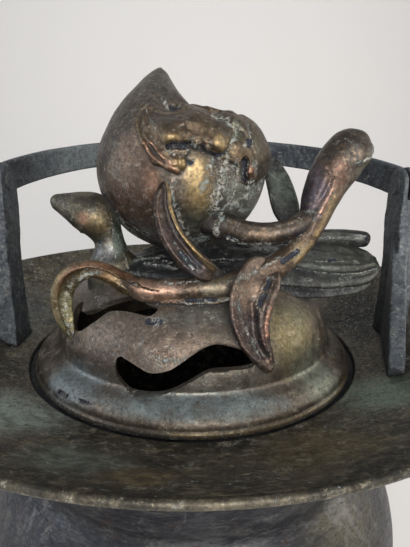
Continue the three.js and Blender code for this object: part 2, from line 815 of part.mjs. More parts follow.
function postOutline() {
  const half = POST_WIDTH / 2;
  const neck = POST_NECK_WIDTH / 2;
  const shoulder = PIVOT - POST_NECK_HEIGHT;
  const foot = SEAT;
  const shape = new THREE.Shape();
  shape.moveTo(-half - POST_FOOT_FLARE, foot);
  shape.lineTo(half + POST_FOOT_FLARE, foot);
  shape.lineTo(half, foot + POST_FLARE_HEIGHT);
  shape.lineTo(half, shoulder - 4);
  shape.quadraticCurveTo(half, shoulder, neck, shoulder + 3);
  shape.lineTo(neck, PIVOT);
  shape.absarc(0, PIVOT, neck, 0, Math.PI, false);
  shape.lineTo(-neck, shoulder + 3);
  shape.quadraticCurveTo(-half, shoulder, -half, shoulder - 4);
  shape.lineTo(-half, foot + POST_FLARE_HEIGHT);
  return shape;
}

// Room for the strap's end from its rest, folded back, to the same angle in front.
function forkOutline() {
  const rest = radians(REST_ANGLE);
  const half = STRAP_WIDTH / 2 + SEAM;
  const reach = 2 * POST_WIDTH;
  const eye = STRAP_EYE_RADIUS + RUNNING;
  const dip = Math.acos(half / eye);
  const mouth = reach * Math.cos(rest) + half * Math.sin(rest);
  const sill = PIVOT + reach * Math.sin(rest) - half * Math.cos(rest);
  const shape = new THREE.Shape();
  shape.moveTo(mouth, sill);
  shape.lineTo(reach, PIVOT + reach);
  shape.lineTo(-reach, PIVOT + reach);
  shape.lineTo(-mouth, sill);
  shape.absarc(0, PIVOT, eye, -Math.PI / 2 - rest - dip, -Math.PI / 2 + rest + dip, false);
  return shape;
}

// Brace: a triangular web from the post's face to a toe on the brim.
function brace({ x }) {
  const shape = new THREE.Shape();
  shape.moveTo(0, SEAT);
  shape.lineTo(BRACE_REACH, SEAT);
  shape.lineTo(BRACE_REACH, SEAT + BRACE_TOE_HEIGHT);
  shape.lineTo(POST_WIDTH / 4, SEAT + BRACE_HEIGHT);
  shape.lineTo(0, SEAT + BRACE_HEIGHT);
  const geometry = new THREE.ExtrudeGeometry(shape, { depth: BRACE_THICKNESS, bevelEnabled: false });
  geometry.translate(0, 0, -BRACE_THICKNESS / 2);
  geometry.rotateX(Math.PI / 2);
  geometry.rotateZ(radians(-90 - BRACE_ANGLE));
  geometry.translate(x, 0, 0);
  return solid(geometry);
}

// Tenon through the brim plate, riveted over into a head under it.
function tenon({ x }) {
  const top = SEAT + PLATE_RISE;
  const end = SEAT + plateHeight(Math.abs(x) - TENON_RADIUS - TENON_HEAD) - SEAM - TENON_HEAD_THICKNESS;
  const head = rod(TENON_RADIUS + TENON_HEAD, [x, 0, end], [x, 0, top]).subtract(abovePlate());
  return join(head, rod(TENON_RADIUS, [x, 0, end], [x, 0, top]));
}

function post(side) {
  const place = postPlace(side);
  const upright = acrossX(postOutline(), place.x, POST_DEPTH, POST_BEVEL);
  const standing = side > 0 ? join(upright, brace(place)) : upright;
  const fork = acrossX(forkOutline(), place.x, SLOT_OUTER - SLOT_INNER);
  return cut(join(standing.subtract(belowPlate()), tenon(place)), fork, pinBore(place));
}

// The right post and the room beside it that the leaves stay out of.
function postRoom() {
  return acrossX(postOutline(), postPlace(1).x, POST_DEPTH + 2 * LEAF_ROOM);
}

function pinBore({ x }) {
  return rod(PIN_RADIUS + SEAM, [x - POST_DEPTH, 0, PIVOT], [x + POST_DEPTH, 0, PIVOT]);
}

function pivotPin(side) {
  const { x } = postPlace(side);
  const half = POST_DEPTH / 2 + SEAM;
  const end = half + PIN_HEAD_THICKNESS;
  const head = PIN_RADIUS + PIN_HEAD;
  return join(
    rod(PIN_RADIUS, [x - end, 0, PIVOT], [x + end, 0, PIVOT]),
    rod(head, [x + half, 0, PIVOT], [x + end, 0, PIVOT]),
    rod(head, [x - end, 0, PIVOT], [x - half, 0, PIVOT]),
  );
}

// Bail and swivel are made upright in the X-Z plane about the pivot, then folded back to rest.

function fold(shape) {
  return shape.rotate([REST_ANGLE - 90, 0, 0]).translate([HANDLE_SHIFT, 0, PIVOT]);
}

function bailHandle() {
  const arch = new THREE.Shape();
  arch.absarc(0, 0, STRAP_OUTSIDE, 0, Math.PI, false);
  arch.absarc(0, 0, BAIL_RADIUS, Math.PI, 0, true);
  const geometry = new THREE.ExtrudeGeometry(arch, { depth: STRAP_WIDTH, bevelEnabled: false, curveSegments: 24 });
  geometry.translate(0, 0, -STRAP_WIDTH / 2);
  geometry.rotateX(Math.PI / 2);
  const across = (radius, side) =>
    rod(radius, [side * BAIL_RADIUS, 0, 0], [side * STRAP_OUTSIDE, 0, 0], 1.5 * SMALL_ROUND);
  const eyes = [-1, 1].map((side) => across(STRAP_EYE_RADIUS, side));
  const bores = [-1, 1].map((side) => pinBore({ x: side * BAIL_RADIUS }).translate([0, 0, -PIVOT]));
  const crownBore = rod(SHANK_RADIUS + RUNNING, [0, 0, BAIL_RADIUS / 2], [0, 0, 2 * BAIL_RADIUS]);
  return fold(cut(join(solid(geometry), ...eyes), ...bores, crownBore));
}

// Swivel: a headed shank through the strap's crown, and an eye for the hanging ring.

const EYE_RADIUS = EYE_BORE_RADIUS + EYE_WALL;
const EYE_HEIGHT = STRAP_OUTSIDE + EYE_NECK + EYE_RADIUS;
const SHANK_WASHER_TOP = BAIL_RADIUS - SEAM;

function swivelEye() {
  const headTop = SHANK_WASHER_TOP - SHANK_WASHER_THICKNESS - SEAM;
  const headUnder = headTop - SHANK_HEAD_THICKNESS;
  const collarUnder = STRAP_OUTSIDE + SEAM;
  const headRadius = SHANK_RADIUS + SHANK_HEAD;
  const half = EYE_THICKNESS / 2;
  const eye = rod(EYE_RADIUS, [-half, 0, EYE_HEIGHT], [half, 0, EYE_HEIGHT]);
  const bore = rod(EYE_BORE_RADIUS, [-EYE_THICKNESS, 0, EYE_HEIGHT], [EYE_THICKNESS, 0, EYE_HEIGHT]);
  const shank = rod(SHANK_RADIUS, [0, 0, headUnder], [0, 0, EYE_HEIGHT - EYE_BORE_RADIUS]);
  const collar = rod(headRadius, [0, 0, collarUnder], [0, 0, collarUnder + SHANK_HEAD_THICKNESS]);
  const head = rod(headRadius, [0, 0, headUnder], [0, 0, headTop]);
  return fold(cut(join(eye, shank, collar, head), bore));
}

function swivelWasher() {
  const under = SHANK_WASHER_TOP - SHANK_WASHER_THICKNESS;
  const disc = rod(SHANK_RADIUS + SHANK_WASHER, [0, 0, under], [0, 0, SHANK_WASHER_TOP]);
  return fold(cut(disc, rod(SHANK_RADIUS + RUNNING, [0, 0, 0], [0, 0, 2 * BAIL_RADIUS])));
}

// The ring hangs straight down from the eye, in the X-Z plane.
function hangingRing() {
  const rest = radians(REST_ANGLE);
  const geometry = new THREE.TorusGeometry(RING_RADIUS, RING_WIRE_RADIUS, 8, 24);
  geometry.rotateX(Math.PI / 2);
  geometry.translate(HANDLE_SHIFT, EYE_HEIGHT * Math.cos(rest), PIVOT + EYE_HEIGHT * Math.sin(rest) - RING_RADIUS);
  return solid(geometry);
}

// Assembly: each piece that is brazed or cast on a neighbour is trimmed by it, with the seam.

const lid = lidBlock();
const peachTrim = peachBody(SEAM);
const branchTrim = branchSolid(SEAM);
const stalkTrim = stalkSolid(SEAM);
const baseLeafTrim = baseLeafSolid(SEAM);
const drapeTrim = drapeLeafSolid(SEAM);

const DARK = 0x3b3d42;
const BROWN = 0x7a5a40;
const GOLD = 0x7d6840;
const GREEN = 0x55594a;
const COPPER = 0x8a5d48;

const PIECES = [
  ["bowl", bowl(), DARK],
  ["brim_plate", brimPlate(), 0x4a4338],
  ["ash_liner", ashLiner(), COPPER],
  ["lid_dome", lidDome(), 0x75614c],
  ["peach", peach(), BROWN],
  ["finial_stud", finialStud(), DARK],
  ["finial_washer", finialWasher(), DARK],
  ["base_leaf", cut(baseLeafSolid(), lid, peachTrim, postRoom()), GREEN],
  ["main_branch", cut(branchSolid(), lid, baseLeafTrim, peachTrim), BROWN],
  ["peach_stalk", cut(stalkSolid(), peachTrim, branchTrim), BROWN],
  ["drape_leaf", cut(drapeLeafSolid(), peachTrim, stalkTrim), GOLD],
  ["front_leaf", cut(frontLeafSolid(), peachTrim, branchTrim, stalkTrim, drapeTrim, baseLeafTrim), GOLD],
  ["hanging_leaf", cut(hangingLeafSolid(), lid, branchTrim, baseLeafTrim), COPPER],
  ["arched_leaf", cut(archedLeafSolid(), lid, branchTrim, baseLeafTrim), GOLD],
  ["bud", cut(limb(BUD, 16), lid, peachTrim, archedLeafSolid(SEAM), baseLeafTrim), BROWN],
  ["rear_leaf", cut(rearLeafSolid(), peachTrim, branchTrim, stalkTrim, baseLeafTrim, drapeTrim), GREEN],
  ["curled_leaf", cut(curledLeafSolid(), baseLeafTrim, postRoom()), GREEN],
  ["left_post", post(-1), DARK],
  ["right_post", post(1), DARK],
  ["left_pivot_pin", pivotPin(-1), DARK],
  ["right_pivot_pin", pivotPin(1), DARK],
  ["bail_handle", bailHandle(), DARK],
  ["swivel_eye", swivelEye(), DARK],
  ["swivel_washer", swivelWasher(), DARK],
  ["hanging_ring", hangingRing(), DARK],
];

const group = new THREE.Group();
for (const [name, shape, color] of PIECES) {
  const material = new THREE.MeshStandardMaterial({ color, roughness: 0.5, metalness: 0.9 });
  const mesh = new THREE.Mesh(geometryOf(shape), material);
  mesh.name = name;
  group.add(mesh);
}

export default group;
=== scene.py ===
"""Looks of the hanging incense burner: cast bronze pieces, their patina, the light and the camera.

Sizes in this file are millimetres in the part's frame: +Z up, the viewer of the front at -Y. They
become metres where a mesh, a light or the camera is made.
"""

import math

import bmesh
import bpy
import numpy as np
from mathutils import Matrix, Vector


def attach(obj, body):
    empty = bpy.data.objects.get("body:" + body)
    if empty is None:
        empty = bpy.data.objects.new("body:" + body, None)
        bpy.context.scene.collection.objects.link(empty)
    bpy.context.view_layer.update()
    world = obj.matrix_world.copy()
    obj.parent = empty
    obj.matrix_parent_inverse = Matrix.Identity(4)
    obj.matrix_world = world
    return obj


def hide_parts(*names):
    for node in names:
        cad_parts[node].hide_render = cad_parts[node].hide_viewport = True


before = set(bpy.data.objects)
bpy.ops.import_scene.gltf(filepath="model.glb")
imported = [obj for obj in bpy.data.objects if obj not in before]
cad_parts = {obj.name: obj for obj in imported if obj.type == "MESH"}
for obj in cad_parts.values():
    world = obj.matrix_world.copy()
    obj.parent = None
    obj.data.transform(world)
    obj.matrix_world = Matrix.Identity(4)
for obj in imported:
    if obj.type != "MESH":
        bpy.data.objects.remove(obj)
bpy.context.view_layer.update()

MM = 0.001

# Sizes shared with the part

SEAT = 183.42  # underside of the lid's flange and of the brim plate
CROWN = 235.42  # top of the dome
PIVOT = 269.92  # the bail's hinge
LID_RADIUS = 80.0
LID_WALL = 2.4
DOME_FOOT_RADIUS = 68.8
ROLL_HEIGHT = 12.5
DOME_HEIGHT = 52.0
FOOT_RADIUS = 46.0
BOWL_RADIUS = 110.0
BOWL_HALF_HEIGHT = 86.0
BOWL_CENTRE = 90.82
SHOULDER = 142.42
NECK_RADIUS = 88.0
PLATE_BORE_RADIUS = 84.5
PLATE_RADIUS = 139.3
PLATE_RISE = 28.5
HANDLE_SHIFT = 5.0
BAIL_RADIUS = 98.5
STRAP_THICKNESS = 3.5
STRAP_WIDTH = 15.0
STRAP_EYE_RADIUS = 9.0
REST_ANGLE = 10.9
POST_X = 99.94  # middle of a post from the middle of the bail
POST_DEPTH = 10.0
POST_WIDTH = 22.0
PIN_RADIUS = 3.0
SEAM = 0.3  # gap of a brazed or pressed joint
STRAP_OUTER = BAIL_RADIUS + STRAP_THICKNESS
SWIVEL_EYE = STRAP_OUTER + 9.0  # middle of the swivel's eye from the bail's hinge
SWIVEL_WASHER = 1.2
FINIAL_PLACE = (-4, 4)
FINIAL_WASHER = 1.6
FINIAL_WASHER_TOP = CROWN - LID_WALL - 1.9


# Noise and splines


def lattice_value(cells, seed):
    """A repeatable number from 0 to 1 for each whole-numbered cell."""
    x, y, z = (cells[..., k].astype(np.uint64) for k in range(3))
    mixed = x * np.uint64(73856093) ^ y * np.uint64(19349663) ^ z * np.uint64(83492791)
    mixed = (mixed ^ np.uint64(seed * 2654435761 % 2**32)) * np.uint64(2246822519)
    mixed = (mixed ^ (mixed >> np.uint64(15))) & np.uint64(0xFFFFFFFF)
    mixed = (mixed * np.uint64(3266489917)) & np.uint64(0xFFFFFFFF)
    return ((mixed ^ (mixed >> np.uint64(13))) & np.uint64(0xFFFFFF)) / float(0xFFFFFF)


def noise(points, size, octaves=3, seed=1):
    """Smooth noise from about -1 to 1, with lumps of that size at its first octave."""
    total, weight, amount = np.zeros(len(points)), 0.0, 1.0
    for octave in range(octaves):
        place = points / (size * 0.5**octave) + 1000.0
        low = np.floor(place)
        share = place - low
        share = share * share * (3 - 2 * share)
        cell = low.astype(np.int64)
        value = np.zeros(len(points))
        for corner in np.ndindex(2, 2, 2):
            step = np.array(corner)
            weights = np.prod(np.where(step, share, 1 - share), axis=1)
            value += weights * lattice_value(cell + step, seed + 17 * octave)
        total += amount * (2 * value - 1)
        weight += amount
        amount *= 0.55
    return total / weight


def smoothstep(value, low, high):
    share = np.clip((value - low) / (high - low), 0, 1)
    return share * share * (3 - 2 * share)


def spline(values, t):
    """Catmull-Rom values at shares t of the row of values."""
    values = np.asarray(values, float)
    place = np.clip(np.asarray(t, float), 0, 1) * (len(values) - 1)
    low = np.minimum(place.astype(int), len(values) - 2)
    w = place - low
    if values.ndim > 1:
        w = w[..., None]
    before, a, b, after = (
        values[np.clip(low + k, 0, len(values) - 1)] for k in (-1, 0, 1, 2)
    )
    first, second = (b - before) / 2, (after - a) / 2
    return (
        (2 * a - 2 * b + first + second) * w**3
        + (-3 * a + 3 * b - 2 * first - second) * w**2
        + first * w
        + a
    )


class Spine:
    """Smooth line through stations [x, y, z above the dome's crown, size], followed by its length."""

    def __init__(self, stations):
        self.stations = np.array(stations, float) + [0, 0, CROWN, 0]
        share = np.linspace(0, 1, 60 * len(stations))
        points = spline(self.stations[:, :3], share)
        length = np.r_[0, np.cumsum(np.linalg.norm(np.diff(points, axis=0), axis=1))]
        self.share, self.length = share, length / length[-1]

    def at(self, t):
        """Points, directions and sizes at shares t of the length."""
        share = np.interp(t, self.length, self.share)
        points = spline(self.stations[:, :3], share)
        step = 1e-3
        ahead = spline(self.stations[:, :3], np.minimum(share + step, 1))
        behind = spline(self.stations[:, :3], np.maximum(share - step, 0))
        along = ahead - behind
        along /= np.linalg.norm(along, axis=1)[:, None]
        return points, along, spline(self.stations[:, 3], share)


# Meshes


def mesh_object(name, vertices, faces):
    """A smooth mesh object from millimetre points."""
    mesh = bpy.data.meshes.new(name)
    mesh.from_pydata((np.asarray(vertices) * MM).tolist(), [], faces)
    mesh.validate()
    mesh.polygons.foreach_set("use_smooth", [True] * len(mesh.polygons))
    thing = bpy.data.objects.new(name, mesh)
    bpy.context.scene.collection.objects.link(thing)
    return thing


def skin(rings, closed=False):
    """Vertices and faces over rings of points, with a fan at each open end."""
    rings = np.asarray(rings, float)
    rows, count = rings.shape[:2]
    vertices = rings.reshape(-1, 3)
    faces = []
    last = rows if closed else rows - 1
    for i in range(last):
        a, b = i * count, ((i + 1) % rows) * count
        for j in range(count):
            k = (j + 1) % count
            faces.append((a + j, a + k, b + k, b + j))
    if closed:
        return vertices, faces
    ends = [rings[0].mean(axis=0), rings[-1].mean(axis=0)]
    first, second = len(vertices), len(vertices) + 1
    vertices = np.vstack([vertices, ends])
    base = (rows - 1) * count
    for j in range(count):
        k = (j + 1) % count
        faces.append((first, k, j))
        faces.append((second, base + j, base + k))
    return vertices, faces


def turned(profile, segments=240, centre=(0, 0)):
    """Solid of revolution about a vertical axis from a closed [radius, height] profile."""
    profile = np.asarray(profile, float)
    angle = np.linspace(0, 2 * math.pi, segments, endpoint=False)
    rings = np.zeros((segments, len(profile), 3))
    rings[..., 0] = centre[0] + np.cos(angle)[:, None] * profile[:, 0]
    rings[..., 1] = centre[1] + np.sin(angle)[:, None] * profile[:, 0]
    rings[..., 2] = profile[:, 1]
    return skin(rings, closed=True)


def tube(path, radii, sides=32, start=(0, 0, 1)):
    """Round skin along a row of points, with a radius at each."""
    path = np.asarray(path, float)
    radii = np.broadcast_to(radii, len(path))
    along = np.gradient(path, axis=0)
    along /= np.linalg.norm(along, axis=1)[:, None]
    normal = np.cross(along[0], start)
    angle = np.linspace(0, 2 * math.pi, sides, endpoint=False)
    rings = []
    for centre, direction, radius in zip(path, along, radii):
        normal = normal - direction * normal.dot(direction)
        normal /= np.linalg.norm(normal)
        across = np.cross(direction, normal)
        rings.append(
            centre
            + radius * (np.cos(angle)[:, None] * normal + np.sin(angle)[:, None] * across)
        )
    return skin(rings)


def rod(radius, start, end, sides=48, bevel=0.4):
    """Cylinder with rounded edges."""
    start, end = np.array(start, float), np.array(end, float)
    length = np.linalg.norm(end - start)
    direction = (end - start) / length
    corner = [(0, bevel), (bevel * 0.3, bevel * 0.3), (bevel, 0)]
    places = [step for step, _ in corner] + [length - step for step, _ in corner[::-1]]
    radii = [radius - inset for _, inset in corner + corner[::-1]]
    return tube([start + direction * p for p in places], radii, sides, start=(0.3, 0.5, 0.81))


def joined(*shapes):
    """One vertex list and face list from several shapes."""
    vertices, faces, offset = [], [], 0
    for points, cells in shapes:
        vertices.append(points)
        faces += [tuple(offset + i for i in cell) for cell in cells]
        offset += len(points)
    return np.vstack(vertices), faces


def facing_out(thing):
    """Turns every face outwards."""
    work = bmesh.new()
    work.from_mesh(thing.data)
    bmesh.ops.recalc_face_normals(work, faces=work.faces)
    work.to_mesh(thing.data)
    work.free()
    return thing


def solid(name, *shapes):
    """One object from several shapes, with its faces outwards."""
    return facing_out(mesh_object(name, *joined(*shapes)))


def profile_steps(radius, height, steps):
    """Profile points, given by their steps from one corner."""
    return [[radius + out, height + up] for out, up in steps]


def washer(name, bore, radius, top, thickness, centre=(0, 0)):
    """Flat ring with its two outer edges softened."""
    soft, under = 0.3, top - thickness
    profile = [
        [bore, under], [radius - soft, under], [radius, under + soft], [radius, top - soft],
        [radius - soft, top], [bore, top],
    ]
    return mesh_object(name, *turned(profile, 64, centre))


def ring_link(centre, radius, across, section, steps):
    """Closed ring in the plane of +Z and across, which is +X or +Y.

    The section is (half thickness in the ring's plane, half width, count of sides).
    """
    across = np.array(across, float)
    thick, wide, count = section
    flat = [1, 1, 0] - across
    sides = np.linspace(0, 2 * math.pi, count, endpoint=False)
    rings = []
    for turn in np.linspace(0, 2 * math.pi, steps, endpoint=False):
        out = across * math.cos(turn) + np.array([0, 0, math.sin(turn)])
        rim = thick * np.cos(sides)[:, None] * out + wide * np.sin(sides)[:, None] * flat
        rings.append(centre + radius * out + rim)
    return skin(rings, closed=True)


def apply_modifiers(thing):
    """The object keeps its evaluated mesh, with no modifiers left."""
    graph = bpy.context.evaluated_depsgraph_get()
    mesh = bpy.data.meshes.new_from_object(thing.evaluated_get(graph))
    old = thing.data
    thing.modifiers.clear()
    thing.data = mesh
    bpy.data.meshes.remove(old)
    return thing


def cut(thing, tools):
    """Booleans the tool objects out of thing and removes them."""
    for tool in tools:
        step = thing.modifiers.new("cut", "BOOLEAN")
        step.operation = "DIFFERENCE"
        step.solver = "EXACT"
        step.object = tool
    apply_modifiers(thing)
    for tool in tools:
        bpy.data.objects.remove(tool)
    return thing


def fused(thing, voxel, relax=2):
    """Remeshes thing into one even skin with softened corners."""
    step = thing.modifiers.new("fuse", "REMESH")
    step.mode = "VOXEL"
    step.voxel_size = voxel * MM
    step.use_smooth_shade = True
    if relax:
        ease = thing.modifiers.new("relax", "SMOOTH")
        ease.factor = 0.5
        ease.iterations = relax
    return apply_modifiers(thing)


def points_of(thing):
    points = np.zeros(len(thing.data.vertices) * 3)
    thing.data.vertices.foreach_get("co", points)
    return points.reshape(-1, 3) / MM


def normals_of(thing):
    normals = np.zeros(len(thing.data.vertices) * 3)
    thing.data.vertex_normals.foreach_get("vector", normals)
    return normals.reshape(-1, 3)


def place_points(thing, points):
    thing.data.vertices.foreach_set("co", (points * MM).ravel())
    thing.data.update()


def roughen(thing, layers, seed, keep=None):
    """Moves the skin along its normals by layers of noise (size, height, octaves)."""
    points, normals = points_of(thing), normals_of(thing)
    shift = np.zeros(len(points))
    for number, (size, height, octaves) in enumerate(layers):
        shift += height * noise(points, size, octaves, seed + 101 * number)
    if keep is not None:
        shift *= keep(points)
    place_points(thing, points + normals * shift[:, None])
    return thing


EYE = np.array([0.0, -206.42, 279.2])  # where the photograph was taken from
MARKS = ("gold", "copper", "hollow", "crust")


def along_path(path, step=0.6):
    """Points about a step apart on a smooth line through the path."""
    path = np.atleast_2d(np.asarray(path, float))
    if len(path) == 1:
        return path
    length = np.linalg.norm(np.diff(path, axis=0), axis=1).sum()
    return spline(path, np.linspace(0, 1, max(2, int(length / step) + 1)))


def closeness(points, path, radius, depth=8.0):
    """1 on a line, falling to 0 at about twice the radius from it.

    The distance is taken across the line of sight from EYE, so that a line keeps its width and
    place on a slanted skin.
    """
    line = along_path(path)
    share = np.zeros(len(points))
    slack = 2.2 * radius + depth
    inside = (points > line.min(axis=0) - slack) & (points < line.max(axis=0) + slack)
    near = np.flatnonzero(inside.all(axis=1))
    if not len(near):
        return share
    best = np.full(len(near), 1e9)
    for middle in line:
        gap = points[near] - middle
        sight = (middle - EYE) / np.linalg.norm(middle - EYE)
        along = gap @ sight
        across = (gap**2).sum(axis=1) - along**2
        best = np.minimum(best, np.where(np.abs(along) < depth, across, 1e9))
    share[near] = np.exp(-best / radius**2)
    return share


def sculpt(thing, strokes, seed=5):
    """Raises or dents the skin along strokes and keeps the mark that each leaves on the metal.

    A stroke is (mark, radius, height, path). Its mark is gold, copper, hollow, crust or plain; gold and
    copper stand for rubbed metal on some strokes and for painted highlights on others.
    """
    points, normals = points_of(thing), normals_of(thing)
    wander = np.stack([noise(points, 2.6, 3, seed + k) for k in range(3)], axis=1)
    sight = EYE - points
    facing = smoothstep((sight * normals).sum(axis=1) / np.linalg.norm(sight, axis=1), -0.15, 0.1)
    shift = np.zeros(len(points))
    marks = {mark: np.zeros(len(points)) for mark in MARKS}
    for mark, radius, height, path in strokes:
        ragged = 0.5 * radius if mark in ("hollow", "crust") else 0.15 * radius
        share = closeness(points + ragged * wander, path, radius) * facing
        if mark == "hollow":
            share = smoothstep(share, 0.2, 0.62)
        shift += height * share
        if mark in marks:
            marks[mark] = np.maximum(marks[mark], share)
    place_points(thing, points + normals * shift[:, None])
    for mark, amount in marks.items():
        layer = thing.data.attributes.new(mark, "FLOAT", "POINT")
        layer.data.foreach_set("value", amount.astype(np.float32))
    return thing


CAST_SKIN = [(26, 0.35, 2), (6, 0.16, 3), (1.6, 0.07, 2)]
FINE_SKIN = [(18, 0.2, 2), (3, 0.08, 2)]


# Paint: procedural bronze


def srgb(red, green, blue):
    """Linear colour from the usual 0 to 255 values."""
    linear = [
        v / 12.92 if v <= 0.04045 else ((v + 0.055) / 1.055) ** 2.4
        for v in (red / 255, green / 255, blue / 255)
    ]
    return (*linear, 1.0)


class Paint:
    """Node tree of one material, in object coordinates, with the colour laid so far."""

    def __init__(self, name, colour):
        self.material = bpy.data.materials.new(name)
        self.material.use_nodes = True
        self.nodes = self.material.node_tree.nodes
        self.links = self.material.node_tree.links
        self.nodes.clear()
        self.output = self.nodes.new("ShaderNodeOutputMaterial")
        self.shader = self.nodes.new("ShaderNodeBsdfPrincipled")
        self.links.new(self.shader.outputs[0], self.output.inputs[0])
        self.place = self.nodes.new("ShaderNodeTexCoord").outputs["Object"]
        self.geometry = self.nodes.new("ShaderNodeNewGeometry")
        self.colour = colour

    def feed(self, socket, value):
        if isinstance(value, bpy.types.NodeSocket):
            self.links.new(value, socket)
        else:
            socket.default_value = value

    def node(self, kind, values=(), **settings):
        """A new node with its settings and the values or links of its first inputs."""
        node = self.nodes.new("ShaderNode" + kind)
        for name, setting in settings.items():
            setattr(node, name, setting)
        for socket, value in zip(node.inputs, values):
            self.feed(socket, value)
        return node

    def vector(self, kind, a, b):
        node = self.node("VectorMath", (a, b), operation=kind)
        return node.outputs["Value" if kind == "LENGTH" else "Vector"]

    def noise(self, size, detail=4, rough=0.55, warp=0.0, place=None):
        node = self.node("TexNoise")
        self.feed(node.inputs["Vector"], place or self.place)
        node.inputs["Scale"].default_value = 1 / (size * MM)
        node.inputs["Detail"].default_value = detail
        node.inputs["Roughness"].default_value = rough
        node.inputs["Distortion"].default_value = warp
        return node.outputs["Fac"]

    def cells(self, size):
        node = self.node("TexVoronoi", (self.place,), feature="F1")
        node.inputs["Scale"].default_value = 1 / (size * MM)
        return node.outputs["Distance"]

    def ramp(self, value, low, high, start=0.0, end=1.0):
        """Value moved from low..high to start..end, smoothly and clamped."""
        values = (value, low, high, start, end)
        return self.node("MapRange", values, interpolation_type="SMOOTHSTEP").outputs[0]

    def math(self, kind, a, b=0.0):
        return self.node("Math", (a, b), operation=kind).outputs[0]

    def times(self, a, b):
        return self.math("MULTIPLY", a, b)

    def larger(self, a, b):
        return self.math("MAXIMUM", a, b)

    def away(self, a, b):
        """How far a is from b."""
        return self.math("ABSOLUTE", self.math("SUBTRACT", a, b))

    def mix(self, share, a, b):
        node = self.node("Mix", data_type="RGBA")
        self.feed(node.inputs["Factor"], share)
        self.feed(node.inputs["A"], a)
        self.feed(node.inputs["B"], b)
        return node.outputs["Result"]

    def cover(self, share, tone):
        """Lays a tone over the colour so far."""
        self.colour = self.mix(share, self.colour, tone)

    def near(self, centre, radius, ragged=0.9, stretch=(1, 1, 1)):
        """1 close to a point, 0 beyond the radius, with a ragged edge."""
        moved = self.vector("SUBTRACT", self.place, [c * MM for c in centre])
        scaled = self.vector("MULTIPLY", moved, [1 / (s * radius * MM) for s in stretch])
        wobble = self.times(self.noise(radius * 0.45, 5, 0.65), ragged)
        distance = self.math("ADD", self.vector("LENGTH", scaled, [0, 0, 0]), wobble)
        return self.ramp(distance, 1.05 + ragged / 2, 0.25 + ragged / 2)

    def mark(self, name):
        """How much of a sculpted mark lies here."""
        return self.node("Attribute", attribute_name=name).outputs["Fac"]

    def corners(self, reach, low=0.5, high=0.95):
        """1 in corners and joints, 0 on open faces."""
        node = self.node("AmbientOcclusion", samples=8)
        node.inputs["Distance"].default_value = reach * MM
        return self.ramp(node.outputs["AO"], high, low)

    def edges(self, low=0.52, high=0.6):
        return self.ramp(self.geometry.outputs["Pointiness"], low, high)

    def bump(self, height, distance, strength=1.0, before=None):
        node = self.node("Bump")
        node.inputs["Strength"].default_value = strength
        node.inputs["Distance"].default_value = distance * MM
        self.feed(node.inputs["Height"], height)
        if before is not None:
            self.feed(node.inputs["Normal"], before)
        return node.outputs[0]


CRUST = srgb(178, 177, 168)
VERDIGRIS = srgb(128, 141, 140)
# near-black: painted shade in corners and joints, and the dark of dents and of crust rims
HOLLOW = srgb(24, 25, 29)
HOLLOW_BLUE = srgb(28, 31, 48)
GOLD = srgb(172, 148, 102)
COPPER = srgb(164, 124, 104)
BLOOM = srgb(96, 96, 95)
STAIN = srgb(60, 46, 40)
FINE_GRAIN = 1.5
BUMP = 0.6


